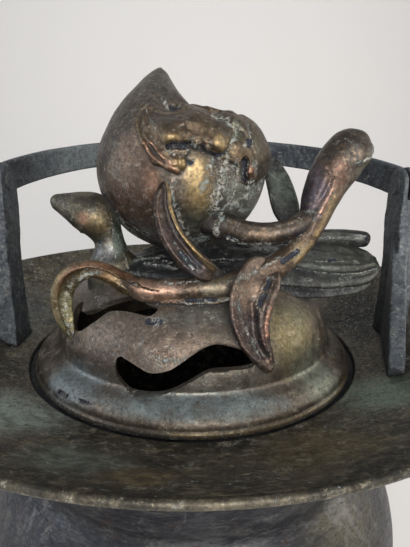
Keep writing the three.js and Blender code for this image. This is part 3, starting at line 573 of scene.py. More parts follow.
def bronze(
    name, dark, mid, light, worn=None, worn_share=0.45, grain=14, crust=0.55, speck=0.3,
    tides=0.5, rough=(0.31, 0.5), metal=0.82, streak=(1, 1, 1), patches=(), base=CROWN,
):
    """Cast bronze: mottled tones, worn edges, crusted corners, specks, pits and local patches, with painted
    shade in the corners and painted highlights among some gold and copper marks and patches.

    A patch is (centre, radius, colour, strength) and may add a stretch along x, y and z. The
    heights of the patches' centres are given above base.
    """
    paint = Paint(name, srgb(*dark))
    place = paint.vector("MULTIPLY", paint.place, list(streak))
    broad = paint.noise(grain, 4, 0.6, 0.6, place)
    middle = paint.noise(grain * 0.27, 6, 0.66, 0.5, place)
    fine = paint.noise(FINE_GRAIN, 6, 0.74, 0.4, place)
    paint.cover(paint.ramp(broad, 0.36, 0.64), srgb(*mid))
    paint.cover(paint.ramp(middle, 0.46, 0.7, 0.0, 0.85), srgb(*light))
    for (x, y, z), radius, tone, strength, *stretch in patches:
        share = paint.near((x, y, base + z), radius, stretch=stretch[0] if stretch else (1, 1, 1))
        ragged = paint.ramp(middle, 0.32, 0.56, strength * 0.4, strength)
        paint.cover(paint.times(share, ragged), srgb(*tone))
    bloom = paint.ramp(paint.noise(grain * 0.5, 7, 0.72, 1.2), 0.52, 0.68, 0.0, 0.55)
    paint.cover(bloom, BLOOM)
    paint.cover(paint.ramp(paint.noise(grain * 0.2, 6, 0.72, 1.0), 0.54, 0.68, 0.0, 0.55), STAIN)
    paint.cover(paint.ramp(fine, 0.5, 0.66, 0.0, 0.6), srgb(*[v * 0.62 for v in dark]))
    paint.cover(paint.ramp(fine, 0.47, 0.33, 0.0, 0.55), srgb(*[v * 1.22 for v in light]))
    if worn:
        ragged = paint.ramp(middle, 0.35, 0.6, worn_share * 0.4, worn_share)
        paint.cover(paint.times(paint.edges(), ragged), srgb(*worn))
    # gold and copper marks, broken up by fine noise: rubbed metal on some strokes, painted highlights on
    # others
    wear_and_glint = paint.ramp(fine, 0.36, 0.56, 1.0, 0.35)
    gold, copper = (paint.times(paint.mark(mark), wear_and_glint) for mark in ("gold", "copper"))
    paint.cover(paint.times(gold, 0.8), GOLD)
    paint.cover(paint.times(copper, 0.75), COPPER)
    cavity = paint.corners(5.0)
    # painted shade: ambient occlusion darkens corners, creases and joints towards near-black, broken up by
    # noise
    corner_shade = paint.times(cavity, paint.ramp(middle, 0.3, 0.6, 0.45, 1.0))
    paint.cover(paint.times(corner_shade, 0.8), HOLLOW)
    hollow = paint.mark("hollow")
    deep = paint.mix(paint.ramp(fine, 0.42, 0.58), HOLLOW, HOLLOW_BLUE)
    paint.cover(paint.ramp(hollow, 0.35, 0.6), deep)
    powder = crusted(paint, cavity, hollow, bloom, crust, speck)
    line = paint.ramp(paint.away(paint.noise(grain * 0.7, 5, 0.66, 0.8), 0.5), 0.011, 0.003)
    powder = paint.larger(powder, paint.times(line, paint.ramp(middle, 0.45, 0.62, 0.0, tides)))
    paint.cover(powder, paint.mix(paint.ramp(paint.noise(5.0, 3), 0.42, 0.6), CRUST, VERDIGRIS))
    matt = paint.larger(powder, paint.larger(paint.times(corner_shade, 0.7), hollow))
    sheen = paint.ramp(middle, 0.32, 0.68, *rough)
    sheen = paint.math("ADD", sheen, paint.ramp(fine, 0.44, 0.66, 0.0, 0.14))
    sheen = paint.math("SUBTRACT", sheen, paint.times(paint.larger(gold, copper), 0.06))
    skin_bump = paint.bump(paint.noise(3.6, 3, 0.55), 0.45, BUMP * 0.7)
    skin_bump = paint.bump(paint.noise(0.95, 6, 0.74), 0.2, BUMP, skin_bump)
    skin_bump = paint.bump(paint.ramp(paint.cells(1.9), 0.0, 0.25), 0.1, BUMP * 0.6, skin_bump)
    skin_bump = paint.bump(powder, 0.35, BUMP, skin_bump)
    inputs = paint.shader.inputs
    paint.feed(inputs["Base Color"], paint.colour)
    paint.feed(inputs["Metallic"], paint.ramp(matt, 0.0, 1.0, metal, 0.15))
    paint.feed(inputs["Roughness"], paint.larger(sheen, paint.ramp(matt, 0, 0.6, 0, 0.78)))
    paint.feed(inputs["Normal"], skin_bump)
    return paint.material


def crusted(paint, cavity, hollow, bloom, crust, speck):
    """Grains of pale crust on strokes, round hollows, in corners and on bloom, with dark rims."""
    grains = paint.noise(FINE_GRAIN, 7, 0.8, 0.6)
    lip = paint.times(paint.ramp(hollow, 0.03, 0.2), paint.ramp(hollow, 0.6, 0.35))
    likely = paint.larger(paint.mark("crust"), paint.times(lip, 0.8))
    likely = paint.larger(likely, paint.ramp(cavity, 0.2, 0.9, 0.0, crust))
    likely = paint.larger(likely, paint.ramp(bloom, 0.0, 0.55, 0.0, speck))
    level = paint.math("SUBTRACT", 0.68, paint.times(likely, 0.225))
    excess = paint.math("SUBTRACT", grains, level)
    shade = paint.ramp(paint.away(excess, -0.025), 0.04, 0.0)
    paint.cover(paint.times(shade, paint.ramp(likely, 0.25, 0.7, 0.0, 0.75)), HOLLOW)
    return paint.ramp(excess, 0.0, 0.09, 0.0, 0.8)


PEACH_PAINT = bronze(
    "peach_bronze", dark=(62, 56, 51), mid=(92, 83, 74), light=(114, 102, 88), worn=(140, 122, 98),
    patches=[
        ((-30, -30, 24), 24, (94, 72, 62), 0.7),
        ((-24, -38, 48), 16, (100, 78, 66), 0.5),
        # partly worn gold, partly painted highlight: the pale column down the peach's front
        ((2, -39, 32), 13, (150, 132, 98), 0.8, (0.6, 1, 1.5)),
        ((4, -33, 18), 14, (98, 102, 92), 0.9),
        # painted highlight over grey-green patina: the bright area low on the peach's right front
        ((20, -27, 30), 18, (142, 146, 136), 0.95),
        ((3, -22, 9), 7, (92, 120, 116), 0.8),
        ((-26, -26, 8), 16, (96, 98, 106), 0.9),
        ((-40, -10, 14), 16, (84, 88, 94), 0.8),
        ((-12, -28, 8), 16, (126, 122, 120), 0.95),
        ((-15, -12, 78), 22, (84, 81, 76), 0.8),
        ((-34, -16, 58), 20, (74, 71, 68), 0.8),
    ],
)
DRAPE_PAINT = bronze(
    "drape_bronze", dark=(62, 53, 44), mid=(90, 77, 62), light=(110, 93, 73), worn=(144, 128, 104),
    worn_share=0.6,
    patches=[
        ((-12, -36, 62), 12, (88, 81, 76), 0.8, (1.4, 1, 0.6)),
        ((8, -30, 62), 12, (96, 86, 74), 0.7, (1.4, 1, 0.6)),
        ((12, -36, 50), 7, (118, 102, 70), 0.7),
        ((17, -28, 57), 7, (116, 120, 104), 0.9, (0.5, 1, 1.4)),
        ((23, -24, 52), 9, (96, 94, 80), 0.8),
        ((24, -22, 42), 9, (96, 90, 70), 0.8),
    ],
)
BRANCH_PAINT = bronze(
    "branch_bronze", dark=(66, 55, 48), mid=(98, 83, 70), light=(116, 98, 79), worn=(132, 112, 88),
    patches=[
        # painted highlight: pale pink on the branch's low front, left of the middle
        ((-14, -52, -5), 12, (166, 140, 124), 0.85),
        ((10, -52, -3), 12, (112, 106, 90), 0.8),
        ((50, -31, 32), 12, (80, 75, 88), 0.95, (0.8, 1, 1.6)),
        ((63, -34, 50), 19, (54, 52, 48), 0.95),
        ((70, -30, 44), 7, (104, 102, 86), 0.7),
        ((59, -34, 40), 7, (112, 84, 72), 0.6, (1, 1, 1.4)),
        ((42, -40, 8), 7, (128, 112, 82), 0.7),
        ((36, -40, 12), 8, (80, 67, 57), 0.8),
        ((58, -30, 26), 8, (112, 98, 68), 0.8, (0.6, 1, 1.8)),
    ],
)
STALK_PAINT = bronze(
    "stalk_bronze", dark=(50, 46, 43), mid=(73, 64, 56), light=(90, 78, 65), worn=(112, 98, 80),
    patches=[
        ((10, -28, 17), 9, (74, 76, 82), 0.8),
        # painted highlight: the light streak along the stalk's middle
        ((28, -39, 15.5), 6, (120, 102, 84), 0.6, (1.6, 1, 0.6)),
        ((46, -36, 15), 6, (48, 52, 66), 0.8),
    ],
)
BUD_PAINT = bronze(
    "bud_bronze", dark=(62, 61, 56), mid=(92, 87, 74), light=(112, 102, 82), worn=(132, 118, 94),
    patches=[
        # painted highlight: the pink spot on the bud's front
        ((-48, -27, 20), 4.5, (150, 118, 98), 0.7),
        ((-42, -27, 18), 7, (120, 104, 72), 0.7),
        ((-34, -22, 10), 9, (96, 116, 104), 0.9, (0.4, 1, 1.8)),
        ((-40, -22, 3), 11, (106, 108, 110), 0.9),
        ((-58, -20, 26), 9, (74, 73, 69), 0.9),
    ],
)
LEAF_PAINT = bronze(
    "leaf_bronze", dark=(42, 35, 32), mid=(62, 51, 45), light=(80, 66, 56), worn=(150, 116, 82),
    worn_share=0.5,
    patches=[
        ((-9, -49, 17), 9, (66, 58, 60), 0.7),
        ((0, -51, 6), 6, (76, 76, 84), 0.8),
        ((-13, -46, 31), 8, (60, 50, 45), 0.7),
    ],
)
HANGING_PAINT = bronze(
    "hanging_leaf_bronze", dark=(54, 46, 42), mid=(88, 75, 66), light=(110, 94, 80), worn=(140, 114, 92),
    worn_share=0.5,
    patches=[
        ((24, -58, -18), 18, (40, 31, 31), 1.0),
        ((22, -52, -6), 9, (112, 94, 80), 0.7),
    ],
)
ARCHED_PAINT = bronze(
    "arched_leaf_bronze", dark=(72, 63, 46), mid=(108, 94, 66), light=(134, 118, 80), worn=(148, 118, 86),
    worn_share=0.4,
    patches=[
        # painted highlight: the warm light along the top of the arch
        ((-35, -50, 4), 11, (130, 103, 74), 0.85),
        ((-54, -43, -16), 15, (176, 170, 130), 0.95),
    ],
    speck=0.9,
)
DARK_LEAF_PAINT = bronze(
    "dark_leaf_bronze", dark=(32, 33, 36), mid=(52, 54, 53), light=(72, 74, 70), worn=(100, 99, 90),
    speck=0.5, metal=0.6,
    patches=[
        ((78, -8, -2), 26, (70, 71, 64), 0.9),
        ((62, -16, -4), 16, (80, 84, 78), 0.7),
        ((41, -8, 32), 14, (84, 92, 84), 0.9),
        ((14, -24, 3), 20, (34, 36, 38), 0.95),
        # dark patina with painted shade: the dark ground under the peach, in front of the branch
        ((-10, -30, 1), 18, (38, 39, 44), 0.9),
        ((33, -10, 3), 6, (62, 68, 68), 0.6),
    ],
)
DOME_PAINT = bronze(
    "dome_bronze", dark=(82, 75, 68), mid=(105, 95, 84), light=(120, 109, 94), worn=(132, 120, 98),
    grain=22,
    patches=[
        ((-12, -62, -26), 26, (110, 95, 85), 0.8),
        ((-34, -54, -32), 22, (88, 77, 72), 0.8),
        ((44, -50, -24), 24, (104, 96, 66), 0.9),
        ((50, -44, -12), 14, (112, 115, 102), 0.8),
        ((0, -54, -14), 12, (118, 118, 112), 0.8, (2.2, 1, 0.6)),
        ((-42, -40, -14), 14, (80, 79, 81), 0.7),
        ((0, -70, -36), 16, (114, 112, 106), 0.8, (5, 1, 0.5)),
        # painted reflection: pale blue-grey light on the flange's roll, at the front and the left
        ((0, -72, -43), 12, (132, 144, 144), 1.0, (5, 1, 0.4)),
        ((-46, -52, -43.5), 18, (122, 134, 138), 0.95, (1.4, 1, 0.6)),
        ((52, -50, -43.5), 18, (132, 137, 124), 0.95),
        ((0, -79, -51.5), 20, (64, 61, 51), 0.9, (5, 1, 0.25)),
    ],
)
PLATE_PAINT = bronze(
    "brim_bronze", dark=(54, 53, 48), mid=(88, 83, 72), light=(124, 117, 100), worn=(156, 126, 100),
    grain=20, worn_share=0.8, speck=0.9, crust=0.1, rough=(0.42, 0.6), base=0,
    patches=[
        ((-66, -74, 192), 28, (156, 168, 162), 0.9),
        ((-34, -106, 198), 20, (120, 130, 122), 0.8),
        ((76, -60, 192), 24, (122, 142, 126), 0.85),
        ((40, -96, 194), 26, (118, 108, 80), 0.7),
        ((-14, -116, 202), 14, (138, 122, 88), 0.6),
        ((-110, 20, 205), 40, (92, 102, 106), 0.8),
        # painted shadow: the dark plate at the back right, under the base leaf
        ((98, 22, 194), 42, (30, 34, 38), 1.0),
    ],
)
BOWL_PAINT = bronze(
    "bowl_bronze", dark=(31, 32, 38), mid=(46, 47, 52), light=(66, 66, 66), worn=(120, 122, 120),
    grain=30, crust=0.0, worn_share=0.6, streak=(0.5, 0.5, 2.2), tides=0.12, base=0,
    patches=[((70, -80, 130), 40, (72, 69, 56), 0.8), ((0, -104, 128), 34, (112, 114, 114), 0.85)],
)
HANDLE_PAINT = bronze(
    "handle_bronze", dark=(46, 50, 57), mid=(68, 74, 80), light=(92, 97, 99), worn=(126, 129, 126),
    speck=0.6, crust=0.3, rough=(0.45, 0.64), metal=0.5, base=0,
    patches=[
        ((-80, 60, 285), 46, (96, 103, 106), 0.9),
        ((105, -12, 236), 34, (96, 101, 106), 0.6),
    ],
)
LINER_PAINT = bronze(
    "liner_copper", dark=(12, 11, 11), mid=(26, 22, 20), light=(44, 35, 30),
    metal=0.4,
)


# Finished pieces


def piece(name, thing, body, node, paint):
    """Gives a mesh its name, body and material, and hides the CAD node that it replaces."""
    thing.name = name
    thing.data.name = name
    thing.data.materials.clear()
    thing.data.materials.append(paint)
    thing.data.polygons.foreach_set("use_smooth", [True] * len(thing.data.polygons))
    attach(thing, body)
    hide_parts(node)
    return thing


def resampled(profile, step):
    """Points along a closed profile, at most a step apart, with its corners kept."""
    points = []
    profile = np.asarray(profile, float)
    for a, b in zip(profile, np.roll(profile, -1, axis=0)):
        count = max(1, int(math.ceil(np.linalg.norm(b - a) / step)))
        points += [a + (b - a) * k / count for k in range(count)]
    return np.array(points)


# Bowl


def spheroid(radius, half, start, end, steps):
    """Profile points on the bowl's round body, from one angle to another."""
    angle = np.linspace(start, end, steps + 1)
    return np.c_[radius * np.cos(angle), BOWL_CENTRE + half * np.sin(angle)].tolist()


def bowl():
    wall, foot_wall, liner_depth, ledge = 3.6, 5.0, 9, 3
    inner, inner_half = BOWL_RADIUS - wall, BOWL_HALF_HEIGHT - wall
    foot_neck = FOOT_RADIUS - 2
    foot_inner = foot_neck - foot_wall
    neck_inner = NECK_RADIUS - wall
    liner_bore, seat_bore = 55.0, 72.0
    top = SEAT - 0.3
    liner_seat = top - liner_depth
    under = liner_seat - ledge

    def outer(radius):
        return math.acos(radius / BOWL_RADIUS)

    profile = [
        [0.01, BOWL_CENTRE - BOWL_HALF_HEIGHT],
        *spheroid(BOWL_RADIUS, BOWL_HALF_HEIGHT, -1.5, -outer(foot_inner), 16),
        *profile_steps(foot_inner, 0, [(0, 1), (1, 0)]),
        *profile_steps(FOOT_RADIUS, 0, [(-0.6, 0), (0.3, 0.8), (0.5, 2), (-0.6, 7)]),
        *spheroid(BOWL_RADIUS, BOWL_HALF_HEIGHT, -outer(foot_neck), outer(NECK_RADIUS), 110),
        *profile_steps(NECK_RADIUS, SHOULDER, [(-0.5, 2), (-0.7, 4), (-0.4, 6), (0, 8)]),
        [NECK_RADIUS, top],
        [seat_bore, top],
        [seat_bore, liner_seat],
        [liner_bore, liner_seat],
        [liner_bore, under],
        [seat_bore, under - 2.5],
        [neck_inner, under - 10],
        *spheroid(inner, inner_half, math.acos(neck_inner / inner), -1.5, 60),
        [0.01, BOWL_CENTRE - inner_half],
    ]
    thing = mesh_object("bowl", *turned(resampled(profile, 3.0), 300))
    return roughen(thing, [(40, 0.3, 2), (9, 0.12, 3)], seed=11, keep=in_cad_round)


def in_cad_round(points):
    """Holds the foot's face and the bowl's widest line, so that the size stays."""
    radius = np.hypot(points[:, 0], points[:, 1])
    return smoothstep(points[:, 2], 0, 6) * (1 - smoothstep(radius, BOWL_RADIUS - 0.5, BOWL_RADIUS))


# Brim plate


def plate_height(radius):
    """How far the plate's lower face has risen over the seat, out at a radius."""
    t = np.clip((radius - PLATE_BORE_RADIUS) / (PLATE_RADIUS - PLATE_BORE_RADIUS), 0, 1)
    return PLATE_RISE * (0.35 * t * t + 0.65 * t)


def brim_plate():
    thickness, bore = 2.0, 82.3
    radii = np.linspace(bore, PLATE_RADIUS - 0.4, 70)
    under = np.c_[radii, SEAT + plate_height(radii)]
    over = np.c_[radii[:-3], SEAT + plate_height(radii[:-3]) + thickness][::-1]
    over[-1] -= [-0.4, 0.5]
    lip = [(-0.1, -1.7), (0, -1), (-0.2, -0.35), (-0.9, -0.02), (-1.5, -0.25), (-2, -0.75), (-2.6, -0.85)]
    profile = np.vstack([under, profile_steps(PLATE_RADIUS, SEAT + PLATE_RISE + thickness, lip), over])
    thing = mesh_object("brim_plate", *turned(profile, 480))
    roughen(thing, [(45, 0.35, 2), (8, 0.12, 3), (2.5, 0.06, 2)], seed=23, keep=away_from_rim)
    scratches = [
        ("crust", 1.2, 0.1, [(-74, -63, 193), (-66, -70, 192)]),
        ("crust", 0.8, 0.1, [(-40, -104, 199), (-34, -110, 201), (-27, -112, 201)]),
        ("gold", 1.0, 0.0, [(-20, -106, 198), (-10, -110, 199)]),
        ("gold", 0.8, 0.0, [(-4, -112, 199), (4, -114, 200)]),
    ]
    return sculpt(thing, scratches)


def away_from_rim(points):
    """Keeps the plate's rim smooth, so that the size stays."""
    radius = np.hypot(points[:, 0], points[:, 1])
    return 1 - smoothstep(radius, PLATE_RADIUS - 4, PLATE_RADIUS - 1)


# Ash liner


def ash_liner():
    under = SEAT - 9
    floor = under - 62
    radius, flange, wall, bend = 53.4, 60.4, 1.4, 17.0

    def corner(size):
        angle = np.radians(np.linspace(-88, 0, 14))
        return np.c_[radius - bend + size * np.cos(angle), floor + bend + size * np.sin(angle)]

    def off_floor(points):
        return 0.6 * smoothstep(points[:, 2], floor, floor + 9)

    profile = [
        [0.01, floor],
        *corner(bend).tolist(),
        [radius, under - 1],
        [flange - 0.3, under],
        [flange, under + wall / 2],
        [flange - 0.3, under + wall],
        [radius - wall + 0.5, under + wall],
        *corner(bend - wall)[::-1].tolist(),
        [0.01, floor + wall],
    ]
    thing = mesh_object("ash_liner", *turned(resampled(profile, 3.0), 160))
    return roughen(thing, [(16, 0.15, 2)], seed=31, keep=off_floor)


# Lid

DOME_CROWN = [
    [1, 0], [0.985, 0.2], [0.925, 0.43], [0.81, 0.64], [0.65, 0.81], [0.45, 0.93], [0.22, 0.985],
    [0, 1],
]
LOWER_CLOUD = [
    (-26, 1.4), (-20.5, -0.5), (-14.4, -2.7), (-6.7, -1.1), (0.8, 3.7), (6.4, 6.6), (11.4, 7.5),
    (19.2, 5.5), (24, 3.2), (26.4, -0.1), (22.8, -1.6), (15.3, -1.4), (7.6, -1.7), (0.2, -5.8),
    (-7.4, -9.8), (-15.1, -11.3), (-21.5, -11.2), (-25.7, -8.4), (-28, -4.8), (-27.8, 0),
]
UPPER_CLOUD = [
    (-15, -12), (-10, -11.2), (-4, -6), (0, -0.2), (4.5, 1.5), (9.5, 2.6), (18, 3.3), (20, 4.8),
    (20, 7.9), (14.4, 8.1), (7.4, 10.2), (3.3, 8.4), (-3.5, 3.9), (-10, -1.4), (-15.7, -3.6),
    (-18.5, -1), (-21, 1), (-23.5, -2), (-20, -9),
]
CLOUDS = [(LOWER_CLOUD, azimuth, 68, 22, 0) for azimuth in (-2, 118, 238)]
CLOUDS += [(UPPER_CLOUD, azimuth, 57, 36, 40) for azimuth in (-38, 142)]
# outline, azimuth, distance from the axis, height over the seat, tip up in degrees


def cloud_tool(outline, azimuth, radius, height, lift):
    """Straight cutter with a cloud's outline, set against the dome and tipped up by lift."""
    count = 6 * len(outline)
    curve = spline([*outline, outline[0]], np.linspace(0, 1, count, endpoint=False))
    tool = mesh_object("cloud_tool", *skin([np.c_[curve, np.full(count, depth)] for depth in (-24, 16)]))
    turn = (
        Matrix.Rotation(math.radians(azimuth), 4, "Z")
        @ Matrix.Translation((0, -radius * MM, (SEAT + height) * MM))
        @ Matrix.Rotation(math.pi / 2 - math.radians(lift), 4, "X")
    )
    tool.data.transform(turn)
    return facing_out(tool)


def crown_profile(offset):
    """The dome's round part from its foot to its crown, moved out by the offset."""
    shares = spline(DOME_CROWN, np.linspace(0, 1, 90))
    shares[-1] = DOME_CROWN[-1]
    rise = DOME_HEIGHT - ROLL_HEIGHT
    radius = DOME_FOOT_RADIUS * shares[:, 0] + offset
    return np.c_[np.maximum(radius, 0.01), SEAT + ROLL_HEIGHT + rise * shares[:, 1] + offset]


def lid_dome():
    flange = [
        (-0.5, 0), (0, 0.5), (0, 1.7), (-0.3, 2.4), (-0.9, 2.8), (-1, 3.5), (-1.5, 5), (-2.8, 6.6),
        (-4.6, 8.2), (-6.8, 9.6), (-9.2, 10.6), (-10.7, 11.6),
    ]
    mouth = [[DOME_FOOT_RADIUS - LID_WALL, SEAT]]
    skins = [crown_profile(0.0), crown_profile(-LID_WALL)[::-1]]
    profile = np.vstack([profile_steps(LID_RADIUS, SEAT, flange), *skins, mouth])
    thing = solid("lid_dome", turned(resampled(profile, 1.2), 420))
    cut(thing, [cloud_tool(*cloud) for cloud in CLOUDS])
    thing.data.set_sharp_from_angle(angle=math.radians(50))
    roughen(thing, [(30, 0.35, 2), (6, 0.14, 3), (2.4, 0.05, 2)], seed=37, keep=above_seat)
    marks = [
        ("hollow", 1.4, -0.5, [(-18.1, -54.5, -16.3), (-13.3, -55.8, -16.1)]),
        ("hollow", 1.0, -0.3, [(-54.4, -55.9, -46.7), (-51.1, -58.6, -46.8)]),
        ("hollow", 0.8, -0.3, [(-44, -63, -46), (-41, -65, -46)]),
        ("gold", 1.0, 0.0, [(-8.3, -79.2, -51), (9.6, -79.1, -51), (28.5, -74.6, -51), (45.9, -65.3, -51)]),
        ("gold", 1.0, 0.0, [(45.9, -65.3, -51), (60, -53, -51), (70.3, -37.3, -51)]),
        ("crust", 1.0, 0.1, [(-30, -50, -2), (-36, -45, -6), (-42, -39, -12)]),
        ("crust", 1.6, 0.1, [(-16, -62, -27), (-6, -64, -29), (4, -63, -28)]),
    ]
    return sculpt(thing, lifted(marks))


def raised(path):
    """Points whose heights are given above the dome's crown."""
    return np.array(path, float) + [0, 0, CROWN]


def lifted(strokes):
    """Strokes whose paths are given above the dome's crown, at their true heights."""
    return [(mark, size, rise, raised(path)) for mark, size, rise, path in strokes]


def above_seat(points):
    """Keeps the lid's seat flat and its widest line in place."""
    radius = np.hypot(points[:, 0], points[:, 1])
    return smoothstep(points[:, 2], SEAT, SEAT + 3) * (1 - smoothstep(radius, LID_RADIUS - 1, LID_RADIUS))


# Peach

FULL_SIDE = [
    [44.5, 0], [42, 6], [36.6, 14.4], [29.9, 23.6], [22.4, 31], [12.1, 38.4], [0, 41.8],
    [-14, 40.5], [-27, 34], [-37, 23], [-43.5, 9], [-45, 0],
]
CLEFT_SIDE = [
    [44.5, 0], [40, 2.9], [32, 4.2], [25, 7], [19.5, 13.8], [15, 23], [6, 34.5], [-7, 38.4],
    [-20, 36], [-33, 26], [-42.5, 10], [-45, 0],
]
CLEFT_AZIMUTH = -10
CLEFT_WIDTH = 68
PEACH_MIDDLE = np.array([-6, 2, CROWN + 45])
PEACH_AXIS = np.array([-math.sin(math.radians(14)), math.sin(math.radians(7)), math.cos(math.radians(14))])
PEACH_AXIS /= np.linalg.norm(PEACH_AXIS)
PEACH_RIGHT = np.array([1, 0, 0]) - PEACH_AXIS * PEACH_AXIS[0]
PEACH_RIGHT /= np.linalg.norm(PEACH_RIGHT)
PEACH_BACK = np.cross(PEACH_AXIS, PEACH_RIGHT)


def peach_points(t, azimuth, offset):
    """Points of the peach's skin, from tip (t = 0) to base (t = 1) at azimuths from its right."""
    t, azimuth, offset = np.broadcast_arrays(t, azimuth, offset)
    away = np.abs((azimuth - CLEFT_AZIMUTH + 180) % 360 - 180)
    share = 1 - smoothstep(away, CLEFT_WIDTH * 0.35, CLEFT_WIDTH * 1.5)
    side = spline(FULL_SIDE, t) * (1 - share)[..., None] + spline(CLEFT_SIDE, t) * share[..., None]
    length = np.maximum(np.linalg.norm(side, axis=-1), 1)
    side = side * (1 + offset / length)[..., None]
    angle = np.radians(azimuth)
    return (
        PEACH_MIDDLE
        + side[..., :1] * PEACH_AXIS
        + (side[..., 1] * np.cos(angle))[..., None] * PEACH_RIGHT
        + (side[..., 1] * np.sin(angle))[..., None] * PEACH_BACK
    )


def on_peach(pairs, lift=0.0):
    """Points on the peach from (azimuth, t) pairs."""
    pairs = np.array(pairs, float)
    return peach_points(pairs[:, 1], pairs[:, 0], np.full(len(pairs), lift))


PEACH_STROKES = [
    ("plain", 3.2, -2.0, [(-94, 0.36), (-88, 0.395), (-84, 0.415)]),
    ("hollow", 1.1, -1.4, [(-88, 0.39), (-84, 0.41), (-80, 0.41)]),
    ("plain", 0.8, 0.8, [(-93, 0.345), (-91, 0.365), (-90, 0.385)]),
    ("plain", 0.7, 0.6, [(-89, 0.35), (-88, 0.37)]),
    ("crust", 1.4, 0.1, [(-95, 0.352), (-93, 0.372), (-91, 0.4)]),
    ("plain", 2.0, 0.8, [(-80, 0.3), (-78, 0.36), (-78, 0.4)]),
    # painted highlight: coppery reflection low on the peach's left front
    ("copper", 3.0, 0.2, [(-110, 0.6), (-110, 0.616), (-112, 0.634)]),
    # partly worn gold, partly painted highlight: the golden column low on the peach's front
    ("gold", 4.0, 0.3, [(-84, 0.62), (-85, 0.66), (-85, 0.71)]),
    ("hollow", 1.0, -0.5, [(-88, 0.592), (-86, 0.6)]),
    ("crust", 5.0, 0.1, [(-62, 0.63), (-68, 0.66), (-72, 0.7), (-76, 0.742)]),
    ("crust", 5.0, 0.1, [(-46, 0.75), (-35, 0.732), (-27, 0.694)]),
    ("crust", 2.2, 0.1, [(-99, 0.63), (-101, 0.676), (-102, 0.732), (-102, 0.81)]),
    ("crust", 3.5, 0.1, [(-158, 0.67), (-170, 0.728), (-170, 0.78)]),
    ("crust", 3.0, 0.1, [(-86, 0.83), (-110, 0.856), (-150, 0.84)]),
    ("crust", 2.4, 0.1, [(-74, 0.614), (-78, 0.644), (-82, 0.674)]),
    ("crust", 4.0, 0.1, [(-58, 0.76), (-39, 0.8), (-9, 0.788)]),
    ("crust", 4.0, 0.1, [(-30, 0.744), (-20, 0.702), (-11, 0.654)]),
    ("crust", 0.9, -0.3, [(-168, 0.61), (-166, 0.66), (-160, 0.7), (-152, 0.74)]),
    ("crust", 0.7, -0.3, [(-152, 0.67), (-148, 0.704), (-144, 0.74), (-142, 0.772)]),
    ("crust", 1.2, 0.1, [(-60, 0.64), (-58, 0.7), (-62, 0.74), (-70, 0.76)]),
    ("crust", 1.0, 0.1, [(-74, 0.63), (-70, 0.66), (-68, 0.7)]),
    ("plain", 0.8, 0.5, [(-99, 0.626), (-102, 0.67), (-103, 0.714)]),
]  # mark, radius, height, (azimuth, t) pairs


def below_tip(points):
    """Keeps the peach's tip smooth, so that the height stays."""
    return 1 - smoothstep(points[:, 2], CROWN + 82, CROWN + 87)


def peach():
    rows, columns = 230, 340
    tip = 43.8  # from the peach's middle, along its axis; the skin is blunted beyond it
    t = np.linspace(0.012, 0.988, rows)[:, None]
    azimuth = np.linspace(0, -360, columns, endpoint=False)[None, :]
    points = peach_points(t, azimuth, np.zeros((rows, columns)))
    height = (points - PEACH_MIDDLE) @ PEACH_AXIS
    blunt = np.maximum(height - tip, 0) * 0.6
    points = points - blunt[..., None] * PEACH_AXIS
    thing = solid("peach", skin(points))
    roughen(thing, CAST_SKIN, seed=41, keep=below_tip)
    strokes = [(mark, size, rise, on_peach(path)) for mark, size, rise, path in PEACH_STROKES]
    strokes += lifted([("crust", 1.5, 0.1, [(-5.5, -26.9, 12.9), (0.2, -24, 10.6), (6.1, -21.8, 11.2)])])
    return sculpt(thing, strokes)


DRAPE_OUTLINE = [
    (-105, 0.386), (-102, 0.392), (-98, 0.416), (-93, 0.432), (-86, 0.442), (-82, 0.436),
    (-78, 0.42), (-72, 0.405), (-63, 0.4), (-54, 0.415), (-42, 0.44), (-28, 0.465), (-12, 0.475),
    (4, 0.48), (14, 0.51), (16, 0.55), (10, 0.6), (0, 0.64), (-12, 0.675), (-26, 0.7), (-38, 0.715),
    (-50, 0.716), (-57, 0.7), (-59, 0.682), (-58, 0.654), (-61, 0.644), (-65, 0.624), (-69, 0.622),
    (-72, 0.614), (-75, 0.6), (-77, 0.588), (-80, 0.578), (-82, 0.562), (-84, 0.554), (-85, 0.568),
    (-87, 0.58), (-89, 0.58), (-90, 0.594), (-92, 0.608), (-95, 0.614), (-98, 0.598), (-102, 0.584),
    (-106, 0.574), (-107, 0.558), (-107, 0.542), (-109, 0.518), (-110, 0.49), (-111, 0.454),
    (-111, 0.422), (-109, 0.398),
]  # (azimuth, t) on the peach
